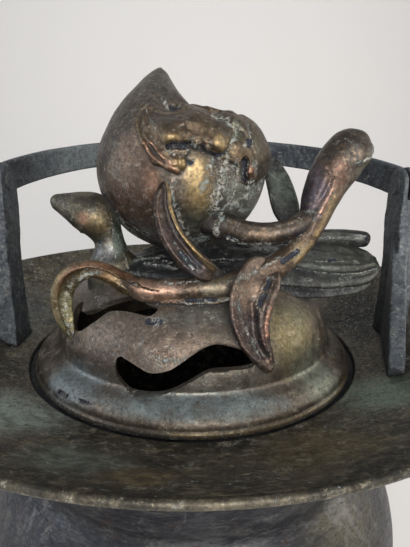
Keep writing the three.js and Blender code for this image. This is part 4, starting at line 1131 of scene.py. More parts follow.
DRAPE_STROKES = [
    ("plain", 6.0, 1.2, 3, [(-76, 0.47), (-74, 0.52), (-72, 0.57)]),
    ("plain", 7.0, 1.0, 3, [(-40, 0.5), (-36, 0.57), (-34, 0.63)]),
    ("plain", 3.6, -1.8, 3, [(-102, 0.43), (-102, 0.48), (-100, 0.53), (-97, 0.55)]),
    ("plain", 3.4, 1.5, 4, [(-95, 0.524), (-91, 0.53), (-86, 0.536), (-81, 0.556), (-77, 0.574)]),
    ("plain", 3.4, 1.4, 4, [(-73, 0.58), (-69, 0.592)]),
    ("plain", 2.6, 1.4, 4, [(-99, 0.566), (-95, 0.584), (-92, 0.59)]),
    # gold on the lobes' lower lips: partly rubbed metal, partly painted highlight
    ("gold", 1.3, 0.3, 5, [(-95, 0.528), (-92, 0.532)]),
    ("gold", 1.6, 0.6, 5, [(-70, 0.57), (-70, 0.59)]),
    ("gold", 1.7, 1.0, 5, [(-92, 0.586), (-92, 0.597)]),
    ("plain", 1.0, 1.5, 4, [
        (-102, 0.4), (-106, 0.402), (-108, 0.416), (-109, 0.436), (-109, 0.46), (-108, 0.492),
        (-106, 0.522),
    ]),
    ("copper", 0.9, 1.1, 4, [
        (-106, 0.522), (-105, 0.542), (-103, 0.562), (-100, 0.578), (-97, 0.592), (-94, 0.606),
    ]),
    ("plain", 0.75, -1.3, 4, [
        (-101, 0.408), (-104.4, 0.41), (-106.6, 0.424), (-107.6, 0.44), (-107.6, 0.468),
        (-107, 0.498), (-105, 0.522), (-103.6, 0.542), (-101.6, 0.562), (-99, 0.579),
    ]),
    ("plain", 0.8, 0.9, 4, [
        (-100, 0.416), (-103, 0.418), (-105, 0.43), (-106, 0.45), (-106, 0.474), (-106, 0.5),
        (-104, 0.522),
    ]),
    ("copper", 0.6, 0.6, 4, [(-104, 0.522), (-102, 0.542), (-100, 0.562), (-98, 0.578), (-95, 0.59)]),
    ("copper", 0.5, 0.5, 4.5, [(-103, 0.528), (-101, 0.545), (-99, 0.562), (-96, 0.58)]),
    ("plain", 0.9, 1.2, 3, [(-102, 0.4), (-98, 0.422), (-93, 0.438), (-86, 0.448), (-82, 0.444)]),
    ("plain", 0.8, -1.1, 3, [(-101, 0.41), (-97, 0.433), (-92, 0.448), (-86, 0.457), (-81, 0.452)]),
    ("plain", 0.8, -0.5, 4.5, [(-98, 0.428), (-96, 0.455), (-92, 0.467), (-88, 0.48), (-85, 0.49)]),
    ("plain", 3.4, -1.8, 4, [(-68, 0.4), (-65, 0.42), (-62, 0.445), (-60, 0.468), (-58, 0.49)]),
    ("crust", 0.7, 0.1, 4.5, [(-104, 0.418), (-102, 0.458), (-100, 0.492)]),
    ("hollow", 1.25, -2.4, 4.5, [(-95, 0.548), (-92, 0.55), (-89, 0.556), (-86, 0.562)]),
    ("crust", 2.2, 0.1, 4, [(-96, 0.558), (-93, 0.566), (-90, 0.572), (-87, 0.572), (-85, 0.562)]),
    ("hollow", 1.3, -2.4, 4.5, [(-80, 0.58), (-78, 0.594), (-74, 0.606), (-71, 0.61), (-67, 0.61)]),
    ("crust", 1.9, 0.1, 4, [
        (-84, 0.556), (-82, 0.57), (-80, 0.586), (-77, 0.602), (-74, 0.616), (-70, 0.624),
        (-66, 0.622),
    ]),
    ("hollow", 1.7, -2.6, 3.5, [(-54, 0.648), (-56, 0.662), (-57, 0.678), (-55, 0.696)]),
    ("copper", 1.4, 0.7, 4, [(-50, 0.67), (-50, 0.69)]),
    ("crust", 2.2, 0.1, 3, [(-60, 0.64), (-60, 0.67), (-60, 0.7)]),
    ("crust", 1.8, 0.1, 3, [(-46, 0.66), (-46, 0.69), (-50, 0.712)]),
    ("crust", 1.8, -1.5, 4.5, [
        (-58, 0.48), (-58, 0.506), (-56, 0.524), (-56, 0.542), (-54, 0.558), (-55, 0.572),
        (-58, 0.582), (-60, 0.59), (-62, 0.6), (-66, 0.61),
    ]),
    ("crust", 0.8, -0.7, 4.5, [(-40, 0.51), (-42, 0.552), (-45, 0.576), (-46, 0.594)]),
    ("hollow", 0.9, -0.6, 4.5, [(-48, 0.6), (-49, 0.612)]),
    ("crust", 1.3, 0.1, 5, [(-54, 0.608), (-52, 0.606)]),
]  # mark, radius, height, lift over the peach, (azimuth, t) pairs


def outline_distance(azimuth, t, points):
    """Millimetres from the drape leaf's outline, less than 0 outside it."""
    outline = np.array(DRAPE_OUTLINE, float)
    count = 8 * len(outline)
    curve = spline([*outline, outline[0]], np.linspace(0, 1, count, endpoint=False))
    edge = on_peach(curve)
    best = np.full(azimuth.shape, 1e9)
    inside = np.zeros(azimuth.shape, bool)
    for k in range(count):
        best = np.minimum(best, ((points - edge[k]) ** 2).sum(axis=-1))
        (x0, y0), (x1, y1) = curve[k - 1], curve[k]
        crosses = (y0 > t) != (y1 > t)
        if crosses.any():
            inside ^= crosses & (azimuth < x0 + (t - y0) * (x1 - x0) / (y1 - y0))
    return np.sqrt(best) * np.where(inside, 1, -1)


def shell(top, under, keep):
    """Closed skin over the kept cells of two grids, walled along its edge."""
    rows, columns = keep.shape
    width = columns + 1
    cells, directed = [], set()
    for i, j in zip(*np.nonzero(keep)):
        a = i * width + j
        cell = (a, a + 1, a + width + 1, a + width)
        cells.append(cell)
        directed.update(zip(cell, cell[1:] + cell[:1]))
    lower = (rows + 1) * width
    faces = list(cells) + [tuple(lower + k for k in cell[::-1]) for cell in cells]
    for a, b in directed:
        if (b, a) not in directed:
            faces.append((b, a, a + lower, b + lower))
    used = np.unique(np.concatenate([np.array(face) for face in faces]))
    renumber = np.zeros(2 * lower, int)
    renumber[used] = np.arange(len(used))
    vertices = np.vstack([top.reshape(-1, 3), under.reshape(-1, 3)])[used]
    return vertices, [tuple(int(renumber[k]) for k in face) for face in faces]


def drape_leaf():
    rows, columns = 170, 330
    thickness, thinner = 4.2, 1.0  # at the left, and how much less at the right
    rim, edge, slack = 1.9, 1.4, 0.9
    t = np.broadcast_to(np.linspace(0.36, 0.74, rows + 1)[:, None], (rows + 1, columns + 1))
    azimuth = np.broadcast_to(np.linspace(-116, 22, columns + 1)[None, :], (rows + 1, columns + 1))
    flat = peach_points(t, azimuth, np.zeros(t.shape))
    gap = outline_distance(azimuth, t, flat)
    full = thickness - thinner * smoothstep(azimuth, -66, -30)
    share = np.clip(gap / edge, 0, 1)
    wall = rim * np.sqrt(1 - (1 - share) ** 2) + (full - rim) * smoothstep(gap, 1.6, 8)
    height = np.where(gap > 0, 0.3 + wall, np.maximum(gap * 2, -1.2))
    kept = gap > -slack
    keep = kept[:-1, :-1] & kept[1:, :-1] & kept[:-1, 1:] & kept[1:, 1:]
    top = peach_points(t, azimuth, height)
    under = peach_points(t, azimuth, np.full(t.shape, -rim))
    thing = solid("drape_leaf", shell(top, under, keep))
    roughen(thing, FINE_SKIN, seed=43)
    strokes = [(mark, size, rise, on_peach(path, lift)) for mark, size, rise, lift, path in DRAPE_STROKES]
    return sculpt(thing, strokes)


# Leaves, branch and bud

# A station is [x, y, height above the dome's crown, radius or half width].
BRANCH = [
    [-27.5, -48, -1.6, 1.2], [-26, -48, -2.6, 3.2], [-22, -47.8, -4.8, 4.6],
    [-17.5, -47.2, -6.2, 4.9], [-10, -47, -6, 4.8], [1, -48, -5, 4.7], [12, -47, -4.5, 5.0],
    [22, -44, -2.5, 5.6], [31, -41, 1, 5.6], [40, -37, 6.5, 5], [47, -33, 13.5, 5.2],
    [51.4, -30, 21.5, 6.4], [54, -28, 29.5, 8], [57.4, -26.3, 37.5, 9.2], [61.8, -25, 44.5, 9.9],
    [65.6, -24.5, 50.4, 9.3], [68.2, -24, 54.2, 7.4], [69.8, -24, 56.8, 4.8], [70.4, -24, 58, 2.0],
]
PEACH_STALK = [
    [4, -23, 20.6, 7.4], [8, -26, 19.6, 6.4], [15, -30.5, 17.3, 5.5], [23, -34, 15.5, 4.9],
    [34, -34, 15.5, 4.8], [43, -33, 18, 5], [50, -31, 22, 5],
]
FRONT_LEAF = [
    [10.5, -45.5, -1.5, 2.6], [7.5, -47, 0.6, 3.8], [4.2, -49, 2.8, 4.8], [0.6, -50, 5.5, 5.2],
    [-2.9, -50.3, 8.7, 5.2], [-6.2, -50, 12.6, 5.0], [-8.9, -49.6, 16.8, 4.7],
    [-11.2, -48.8, 22.1, 4.2], [-12.5, -47.6, 28.4, 3.4], [-11.9, -46, 33.6, 2.4],
    [-11.3, -44.8, 36.6, 1.0],
]
HANGING_LEAF = [
    [30.5, -41.5, 3.5, 4.5], [28, -45, 1.5, 8.2], [25, -48.8, -2, 9.8], [22, -52, -8, 10],
    [21.3, -55.5, -15, 8.8], [23, -59, -22, 7], [26.5, -61.5, -28, 4.6], [28.8, -62.3, -31.8, 2.6],
    [30, -62.5, -33.8, 1.2],
]
ARCHED_LEAF = [
    [-10, -47, -6.6, 2.6], [-15, -47, -6.8, 3.6], [-20.5, -47.2, -5.8, 4.1], [-28, -48, -2.5, 3.8],
    [-35, -48, 1.5, 3.2], [-42, -47, 2.5, 3.6], [-50, -45.2, -1, 4.4], [-54.5, -42.5, -8, 4.7],
    [-55.5, -40.8, -16, 4.3], [-54.3, -40.5, -23, 3.4], [-52.8, -40.8, -27.5, 2.2],
    [-52, -41, -29.8, 1.0],
]
BUD = [
    [-37, -18, -12, 13], [-37.6, -18, -6, 12.6], [-38, -18, -2.4, 12.2], [-38.3, -18, 0.4, 11],
    [-38.6, -18, 3, 8.8], [-39, -18, 6.6, 7.2], [-40, -18, 11, 7], [-43, -18, 17.5, 9.3],
    [-46.5, -18, 21, 10], [-52, -18, 23.3, 8.4], [-57, -18, 25, 6], [-61, -18, 26.2, 4.2],
    [-63.3, -18, 26.8, 3], [-64.6, -18, 27, 1.2],
]
REAR_LEAF = [
    [43, -22, 18, 5], [42, -17, 22, 7], [41, -12, 28, 7.6], [39.5, -5, 36.5, 7], [37, 0, 44, 4.6],
    [35.5, 2, 48, 1.4],
]
BASE_LEAF = [
    [-32, -20, -2, 9], [-14, -20, 2, 19], [10, -17, 3.5, 22], [34, -12, 1.8, 23], [54, -8, 0.2, 23],
    [72, -8, -0.8, 20], [84, -7, -1.6, 15], [91, -6, -2.2, 8],
]
BASE_FOLD = [
    [20, -17, -1.5, 16], [36, -14, -2.4, 21], [54, -11, -3.8, 21.5], [71, -10.5, -4.6, 18.5],
    [82, -9, -5, 13.5], [88.5, -8, -5.2, 7],
]
CURLED_LEAF = [
    [46, 6, 3.4, 1.8], [54, 8, 4.6, 3.8], [64, 9.5, 5.8, 4.6], [75, 9.5, 6.2, 4.9],
    [84, 8.5, 6.2, 4.7], [90, 7.4, 6.1, 4.3], [92.2, 7.0, 6.0, 3.2], [93, 6.9, 5.9, 1.4],
]


def limb(stations, steps=160, sides=48):
    """Round limb along stations, whose sizes are its radii."""
    points, _, radii = Spine(stations).at(np.linspace(0, 1, steps))
    return tube(points, radii, sides)


def blade(stations, faces, cup, thickness, rims=(0.35, 0.35), bead=(0.86, 0.12), vein=0.0, steps=140):
    """Leaf blade, cupped towards its face, with a bead near each edge and a sunk or raised midrib."""
    t = np.linspace(0, 1, steps)
    points, along, half = Spine(stations).at(t)
    look = np.array(faces[0]) + (np.array(faces[1], float) - faces[0]) * t[:, None]
    look -= along * (look * along).sum(axis=1)[:, None]
    look /= np.linalg.norm(look, axis=1)[:, None]
    side = np.cross(look, along)
    u = np.sin(np.linspace(-math.pi / 2, math.pi / 2, 35))
    angle = math.radians(cup) * u
    edge = np.sqrt(np.clip(1 - np.abs(u) ** 6, 0, 1))
    rim = np.exp(-(((np.abs(u) - bead[0]) / bead[1]) ** 2)) * np.where(u < 0, rims[0], rims[1])
    rib = vein * np.exp(-((u / 0.12) ** 2))
    thick = spline(thickness, t) if np.ndim(thickness) else np.full(steps, float(thickness))
    rings = []
    for centre, across, face, width, deep in zip(points, side, look, half, thick):
        upper = deep / 2 * edge * (1 + rim) + rib * edge
        lower = -deep / 2 * edge * (1 + 0.4 * rim)
        reach = width / math.radians(cup)
        flat, rise = reach * np.sin(angle), reach * (1 - np.cos(angle))
        rows = []
        for lift, order in ((lower, slice(None)), (upper, slice(-2, 0, -1))):
            place = (
                centre
                + (flat - lift * np.sin(angle))[:, None] * across
                + (rise + lift * np.cos(angle))[:, None] * face
            )
            rows.append(place[order])
        rings.append(np.vstack(rows))
    return skin(np.array(rings))


def crumbly(path, radius, seed):
    """Rough bead of old casting and crust along a joint."""
    path = spline(raised(path), np.linspace(0, 1, 90))
    radii = radius * (0.75 + 0.5 * noise(path, 4.0, 3, seed))
    return tube(path, np.maximum(radii, radius * 0.3), 14)


def cast(name, shapes, voxel, seed, layers=CAST_SKIN):
    """Shapes fused into one skin, roughened as a casting."""
    return roughen(fused(solid(name, *shapes), voxel), layers, seed)


def main_branch():
    below = [[-14, -50, -9.5], [-2, -51.5, -9.5], [10, -51, -9], [20, -49, -8]]
    thing = cast("main_branch", [limb(BRANCH, 260), crumbly(below, 1.3, 3)], 0.42, seed=47)
    turn = np.linspace(0, 2 * math.pi, 9)
    ring = np.c_[14.8 + 2.3 * np.cos(turn), np.full(9, -53.0), -1.9 + 2.1 * np.sin(turn)]
    strokes = [
        # painted highlight along the branch's low front, with the pale pink patch of its paint
        ("copper", 2.6, 0.2, [
            (-21.7, -48.1, -4.6), (-17.6, -49.6, -5.8), (-13.5, -50.8, -6.3), (-9.6, -51.3, -7.3),
        ]),
        ("crust", 0.6, 0.3, ring),
        ("copper", 1.2, -0.2, [(14.8, -53, -1.9)]),
        ("crust", 1.0, 0.1, [
            (-13.6, -49.2, -2.2), (-8.8, -50.3, -1.9), (-3.9, -52, -0.8), (0.7, -52, -0.5),
            (6, -50, -0.6),
        ]),
        ("crust", 1.2, 0.2, [
            (-5.7, -49.2, -10.6), (-0.8, -49.9, -10.7), (4.4, -49.2, -10.5), (9.7, -47.9, -10.1),
            (14.8, -46, -9.8),
        ]),
        ("hollow", 0.8, -0.6, [(-3, -52, -8.6), (3, -52.3, -8.4), (9, -51.8, -8.2)]),
        ("crust", 3.0, 0.2, [(38.2, -38, 13.9), (43.9, -37.5, 18.1), (48.6, -35.6, 22.5)]),
        ("plain", 4.0, 1.4, [(50, -34, 25), (52, -32.5, 32), (54, -31, 38)]),
        ("plain", 3.0, 1.4, [(70.5, -30, 47), (72, -28, 50)]),
        ("hollow", 1.2, -0.9, [
            (36.1, -38, 11.9), (38.2, -38, 13.9), (41, -38, 16), (43.9, -37.5, 18.1),
            (46.4, -36.8, 20.1), (48.6, -35.6, 22.5),
        ]),
        ("crust", 1.3, 0.3, [(46, -35, 23.5), (48.4, -34.1, 24.8), (50.6, -33.9, 25.2)]),
        ("gold", 1.2, 0.2, [(42.2, -41.1, 4.8), (45.3, -39.5, 7.9), (48.5, -37.6, 11.4)]),
        # painted highlight: golden line up the branch's right side
        ("gold", 1.1, 0.2, [
            (51.2, -36, 15.4), (53.7, -34.7, 20.7), (55.5, -34.2, 25.7), (57.6, -34, 31.1),
        ]),
        ("plain", 1.2, 0.7, [
            (48.5, -36, 16), (51.5, -34.5, 22), (54, -34, 28), (56.6, -34, 33.1), (57.6, -33.7, 38),
        ]),
        ("copper", 0.7, 0.2, [(52.6, -34.2, 24.5), (54.8, -34, 29.8), (56.9, -33.9, 34.5)]),
        ("plain", 1.0, -0.7, [
            (48.5, -34, 22), (51, -33.5, 27), (54.5, -32.5, 33), (57, -31, 39), (55.4, -31, 42),
        ]),
        ("crust", 1.6, 0.3, [
            (65.9, -33.9, 44.5), (68.3, -33.5, 46.1), (71, -32.4, 48.5), (72.4, -31.5, 51.5),
        ]),
        ("hollow", 1.2, -0.8, [(36.2, -43.9, 5.8), (39.2, -42.6, 7.4), (42.4, -40.9, 9.4)]),
        ("crust", 1.2, 0.3, [
            (17.8, -50, 0.4), (22.1, -48.5, 1.8), (27.3, -46.2, 3.6), (31.6, -44.5, 5.6),
            (35, -42.9, 7.2),
        ]),
        ("plain", 2.0, -0.9, [(-13.5, -51, -9.6), (-6, -52, -10)]),
    ]
    return sculpt(thing, lifted(strokes))


def peach_stalk():
    thing = cast("peach_stalk", [limb(PEACH_STALK)], 0.42, seed=53)
    strokes = [
        ("crust", 3.0, 0.2, [
            (11.7, -30.8, 23.2), (10.3, -33.5, 20.2), (9.1, -33.2, 16.7), (10, -29, 12.5),
        ]),
        ("crust", 1.4, 0.2, [(14, -34, 13.4), (22, -37, 11.4), (32, -37, 11.4)]),
        ("plain", 1.0, 0.5, [(14, -34, 21.5), (22, -37, 19.8), (32, -37, 19.3), (42, -36, 22)]),
        ("hollow", 1.0, -0.5, [(14, -35, 14.2), (18, -36.5, 13)]),
    ]
    return sculpt(thing, lifted(strokes))


def front_leaf():
    shape = blade(FRONT_LEAF, [[0.3, -1, 0.4], [0.2, -1, 0.1]], 38, 2.6, rims=(1.0, 0.25), bead=(0.88, 0.1))
    thing = cast("front_leaf", [shape], 0.34, seed=59, layers=FINE_SKIN)
    strokes = [
        # painted highlight: gold line along the leaf's right rim
        ("gold", 0.8, 0.4, [
            (-10.4, -46.0, 37.7), (-9.4, -47.0, 34.0), (-9.2, -48.5, 28.5), (-7.5, -50.0, 22.3),
            (-4.8, -51.0, 17.4), (-1.7, -51.5, 13.7), (1.4, -51.5, 9.8), (4.5, -51.0, 6.5),
            (7.4, -49.5, 3.8),
        ]),
        ("plain", 1.1, -0.9, [
            (-10.9, -47.0, 35.5), (-10.9, -48.5, 28.5), (-9.2, -50.0, 22.2), (-6.7, -51.0, 17.0),
            (-3.6, -51.5, 12.9), (-0.5, -51.5, 9.0), (2.6, -51.0, 5.7),
        ]),
        ("plain", 1.0, 0.5, [
            (-13.3, -46.0, 33.9), (-14.4, -48.0, 28.4), (-13.0, -49.0, 22.1), (-10.9, -50.0, 16.8),
            (-8.3, -50.5, 11.5), (-4.8, -51.0, 7.3), (-1.7, -51.0, 4.5),
        ]),
        ("hollow", 1.3, -0.8, [(-5.5, -51.5, 10.1), (-2.9, -51.5, 7.4), (-0.1, -51.5, 5.0)]),
        ("crust", 0.9, 0.1, [
            (-7.8, -51.5, 14.4), (-4.8, -51.5, 10.1), (-1.7, -51.5, 6.2), (1.4, -51.5, 3.4),
        ]),
    ]
    return sculpt(thing, lifted(strokes))


def hanging_leaf():
    shape = blade(HANGING_LEAF, [[0.1, -1, 0.5], [0.3, -1, 0.2]], 50, 3, rims=(0.1, 0.5), bead=(0.9, 0.09))
    thing = cast("hanging_leaf", [shape], 0.38, seed=61, layers=FINE_SKIN)
    strokes = [
        ("hollow", 0.9, -0.7, [(30.2, -47.6, -0.8), (29.2, -50.3, -2.4), (28.3, -51.2, -4)]),
        ("hollow", 1.0, -0.7, [(27.6, -52.8, -5.6), (26.4, -53.8, -7.6), (25.8, -54.5, -9.2)]),
        ("crust", 0.5, 0.2, [
            (31.6, -47, 0.4), (31.2, -50, -2.6), (29.6, -52, -6), (28, -54, -9), (25.6, -55.4, -11),
            (24.4, -54.6, -9.4), (26, -52.4, -5.4), (28, -50, -2), (30, -47.5, 0.4),
        ]),
        # painted highlight: pink streak along the leaf's right edge
        ("copper", 0.9, 0.3, [(29.6, -56, -10), (28.5, -57.5, -13.5), (27.7, -59, -17), (28, -60.3, -20)]),
        ("plain", 1.6, -0.9, [
            (22.6, -54.8, -9), (22.9, -57.4, -15.4), (23.2, -59.6, -19.5), (24.6, -61.5, -23.6),
            (26.9, -62.8, -27.2),
        ]),
        ("plain", 1.3, 0.7, [(26, -54, -9), (25.6, -57.5, -15), (26, -60, -20), (27.6, -62, -25)]),
        ("crust", 2.2, 0.1, [(17.8, -52, 0.6), (22.1, -49.5, 1.9), (27.3, -46.8, 3.7), (31.6, -45, 5.8)]),
        ("crust", 1.1, 0.1, [(17.2, -54, -8), (19, -57, -16), (22.8, -60, -22), (26, -62.5, -29)]),
    ]
    return sculpt(thing, lifted(strokes))


def arched_leaf():
    thickness = [6.5, 7, 6, 4.2, 3, 2.6, 2.6, 2.4, 2]
    shape = blade(ARCHED_LEAF, [
        [0.1, -1, 0.3], [0.7, -1, 0],
    ], 26, thickness, rims=(1.3, 0), bead=(0.74, 0.2))
    thing = cast("arched_leaf", [shape], 0.4, seed=67, layers=[(12, 0.3, 2), (2.2, 0.2, 3), (1.0, 0.08, 2)])
    strokes = [
        # painted highlight: copper line along the arch's top rim and down its drooping end
        ("copper", 1.4, 0.3, [
            (-57, -43.4, -19.4), (-57, -45.2, -10.9), (-54.1, -47.3, -3.8), (-49.8, -48.4, 1.5),
            (-43.3, -48.5, 4.8), (-38.1, -49.1, 4.8), (-33.9, -48, 4), (-28, -49, 1.2),
            (-22.8, -49, -2.2),
        ]),
        ("crust", 2.4, -0.4, [
            (-37.7, -49.4, 2.4), (-43.5, -48.7, 0.6), (-48.8, -47.4, -3.2), (-52.6, -43.7, -9.2),
            (-54, -42.6, -15.3), (-53.4, -42.3, -21.6), (-52.4, -42.8, -26.4),
        ]),
        ("plain", 1.6, -0.8, [(-26.9, -49.8, -0.4), (-24.7, -49.5, -5.1), (-21.8, -48.7, -8.7)]),
        ("hollow", 0.8, -0.5, [(-24.3, -49.5, -2.6)]),
        ("crust", 1.2, 0.3, [(-25.5, -49, -1.6), (-23.2, -49.4, -3.4)]),
    ]
    return sculpt(thing, lifted(strokes))


def bud():
    thing = cast("bud", [limb(BUD)], 0.42, seed=71, layers=FINE_SKIN)
    strokes = [
        # painted highlight: copper spot on the bud's front
        ("copper", 1.6, 0.0, [(-47.9, -27.3, 20.1)]),
        ("crust", 0.8, 0.0, [(-36.6, -23.5, 20), (-36.3, -23.8, 14), (-36.6, -23.5, 8), (-35.9, -23.2, 2)]),
        ("crust", 0.6, 0.4, [(-32.3, -19.5, 3.2), (-31, -20.5, -1), (-30, -21, -5)]),
        ("crust", 0.6, 0.4, [(-43, -20, 1.5), (-45, -21, -2), (-48, -22, -5)]),
        ("hollow", 0.6, -0.3, [(-43, -24.5, 9.5), (-42.3, -24.4, 9)]),
    ]
    return sculpt(thing, lifted(strokes))


def rear_leaf():
    shape = blade(REAR_LEAF, [[0.3, -1, 0.3], [0.4, -1, 0.2]], 25, 2.6, vein=-0.5)
    return cast("rear_leaf", [shape], 0.45, seed=73)


def base_leaf():
    shape = blade(BASE_LEAF, [[0, -0.2, 1], [0, -0.4, 1]], -16, 3, rims=(0.5, 0.5), vein=0.6, steps=200)
    fold = blade(BASE_FOLD, [[0, -0.4, 1], [0, -0.5, 1]], -14, 2.6, rims=(0.4, 0.4), steps=160)
    thing = cast("base_leaf", [shape, fold], 0.6, seed=79, layers=[(16, 0.5, 3), (3, 0.2, 3)])
    veins = [
        ("crust", 0.7, 0.5, [(33, -30, 1.2), (46, -29, -1), (60, -26, -4), (76, -22, -5.2), (88, -16, -4)]),
        ("plain", 0.9, 0.9, [
            (33, -25, 2), (48, -23, 0.2), (62, -20, -2.2), (78, -16, -3.2), (88, -11, -2.6),
        ]),
        ("crust", 0.6, 0.4, [(36, -22, 2.2), (50, -19, 0.6), (64, -15, -1.2), (80, -11, -1.8)]),
        ("plain", 1.1, -0.9, [(34, -27.5, 1.6), (47, -26, -0.6), (61, -23, -3), (77, -19, -4)]),
        ("plain", 1.4, 0.9, [(46, 2, 2.6), (58, 5, 2), (72, 5, 1.4), (84, 2, 0.6)]),
        ("plain", 1.3, -0.9, [(44, -3, 3), (58, 0, 2.2), (72, 0, 1.4), (84, -2, 0.4)]),
        ("crust", 0.8, 0.3, [(44, -6, 3), (58, -4, 2), (72, -4, 1.2)]),
        ("hollow", 1.0, -0.5, [(66, -12, -1), (69, -11, -1.2)]),
        ("crust", 0.9, 0.4, [(31, -12, 3.6), (36, -8, 3.9), (41, -8, 3)]),
        ("crust", 0.9, 0.4, [(28, -14, 3.6), (34, -12, 3.6), (41, -12, 2.6)]),
        ("plain", 1.0, 0.6, [(26, -17, 3.4), (32, -16, 3), (40, -16, 2)]),
        ("plain", 4.5, -1.2, [(6, -26, 3.4), (14, -24, 3.8), (22, -18, 3.8)]),
        ("plain", 4.0, -0.8, [(-16, -28, 1.4), (-8, -30, 2.2), (0, -32, 2.6)]),
        ("crust", 0.9, 0.3, [(4, -30, 3.2), (12, -28, 3.6), (22, -26, 3)]),
        ("crust", 0.8, 0.5, [(-22, -30, 0.8), (-16, -33, 1), (-10, -35, 1.2)]),
        ("crust", 0.8, 0.5, [(-14, -27, 2), (-10, -30, 2), (-12, -33, 1.6), (-17, -31, 1)]),
        ("crust", 1.2, 0.3, [(-28, -24, 0), (-22, -22.5, 1.6), (-14, -22, 2.8)]),
        ("crust", 1.4, 0.2, [(-25, -20, 1), (-20, -27, 0.4), (-8, -33, 0)]),
    ]
    return sculpt(thing, lifted(veins))


def curled_leaf():
    thing = cast("curled_leaf", [limb(CURLED_LEAF, 120, 32)], 0.45, seed=83, layers=FINE_SKIN)
    strokes = [
        ("plain", 0.7, 0.4, [(58, 5, 9), (70, 6, 10), (82, 5.5, 9.8), (90, 4, 8.6)]),
        ("hollow", 1.2, -0.6, [(90.5, 4, 6.4)]),
        ("crust", 0.7, 0.1, [(60, 4.5, 7.5), (72, 5.5, 7), (84, 5, 6)]),
    ]
    return sculpt(thing, lifted(strokes))


# Finial stud and its washer


def finial_stud():
    x, y = FINIAL_PLACE
    shank, head, deep = 5, 8.5, 2.5
    head_top = FINIAL_WASHER_TOP - FINIAL_WASHER - SEAM
    flange = CROWN + 8
    shapes = [
        rod(shank, (x, y, head_top - deep), (x, y, flange + deep)),
        rod(head, (x, y, head_top - deep), (x, y, head_top)),
        rod(head, (x, y, flange), (x, y, flange + deep)),
    ]
    return cast("finial_stud", shapes, 0.5, seed=89, layers=FINE_SKIN)


def finial_washer():
    return washer("finial_washer", 5.3, 11, FINIAL_WASHER_TOP, FINIAL_WASHER, FINIAL_PLACE)


# Posts, bail and swivel


def across_x(outline, x, thickness, bevel=0.8):
    """Plate with a [y, z] outline, extruded along x with softened edges."""
    outline = np.asarray(outline, float)
    centre = outline.mean(axis=0)
    rings = []
    for place, inset in ((-0.5, bevel), (-0.5, 0), (0.5, 0), (0.5, bevel)):
        shift = thickness * place + (bevel if inset == 0 else 0) * (1 if place < 0 else -1)
        direction = centre - outline
        direction /= np.linalg.norm(direction, axis=1)[:, None]
        ring = outline + direction * inset
        rings.append(np.c_[np.full(len(ring), x + shift), ring])
    return skin(np.array(rings))


def pivot_arc(radius, start, end):
    """Points [y, z] round the bail's hinge."""
    return [[radius * math.cos(a), PIVOT + radius * math.sin(a)] for a in np.linspace(start, end, 24)]


def post_outline(foot):
    half, neck = POST_WIDTH / 2, 8.5
    shoulder = PIVOT - 24
    front = [
        *profile_steps(half, foot, [(2, 0), (1, 7), (0, 14)]),
        *profile_steps(half, shoulder, [(0, -4), (-0.7, -0.6)]),
        *profile_steps(neck, shoulder, [(0.4, 1.4), (0, 3)]),
        [neck, PIVOT],
    ]
    back = [
        *profile_steps(half, foot, [(2, 0), (0, 3)]),
        [7, foot + 7],
        [5.6, foot + 13],
        [5.6, shoulder - 10],
        *profile_steps(neck, shoulder, [(-1, -1), (0, 6)]),
        [neck, PIVOT],
    ]
    return back + pivot_arc(neck, 0.1, math.pi - 0.1) + [[-y, z] for y, z in front[::-1]]


def fork_tool(x, width):
    """Room for the strap's end between the fork's cheeks."""
    rest, half, reach = math.radians(REST_ANGLE), STRAP_WIDTH / 2 + SEAM, 44.0
    eye = STRAP_EYE_RADIUS + 0.35
    dip = math.acos(half / eye)
    mouth = reach * math.cos(rest) + half * math.sin(rest)
    sill = PIVOT + reach * math.sin(rest) - half * math.cos(rest)
    outline = [[mouth, sill], [reach, PIVOT + reach], [-reach, PIVOT + reach], [-mouth, sill]]
    outline += pivot_arc(eye, -math.pi / 2 - rest - dip, -math.pi / 2 + rest + dip)
    return solid("fork_tool", across_x(outline, x, width, bevel=0.0))


def tool_rod(radius, start, end):
    return solid("rod_tool", rod(radius, start, end, 48, 0.01))


def brace(x):
    """Web from the right post forward to a toe on the brim."""
    reach, height, toe, thickness = 51, 60, 12, 7
    outline = [[0, SEAT], [reach, SEAT], [reach, SEAT + toe], [5.5, SEAT + height], [0, SEAT + height]]
    outline = resampled(outline, 2.0)
    vertices, faces = across_x(outline * [-1, 1], 0, thickness, 0.6)
    turn = math.radians(-20)
    spun = vertices.copy()
    spun[:, 0] = vertices[:, 0] * math.cos(turn) - vertices[:, 1] * math.sin(turn) + x
    spun[:, 1] = vertices[:, 0] * math.sin(turn) + vertices[:, 1] * math.cos(turn)
    return spun, faces


def below_plate():
    """Tool that holds all under the plate's upper face."""
    radii = np.linspace(PLATE_BORE_RADIUS, PLATE_RADIUS, 30)
    face = np.c_[radii, SEAT + plate_height(radii) + 2.3][::-1].tolist()
    beyond, deep = PLATE_RADIUS + 5, 120
    profile = [[0.01, deep], [beyond, deep], [beyond, face[0][1]], *face, [0.01, face[-1][1]]]
    return solid("plate_tool", turned(profile, 180))


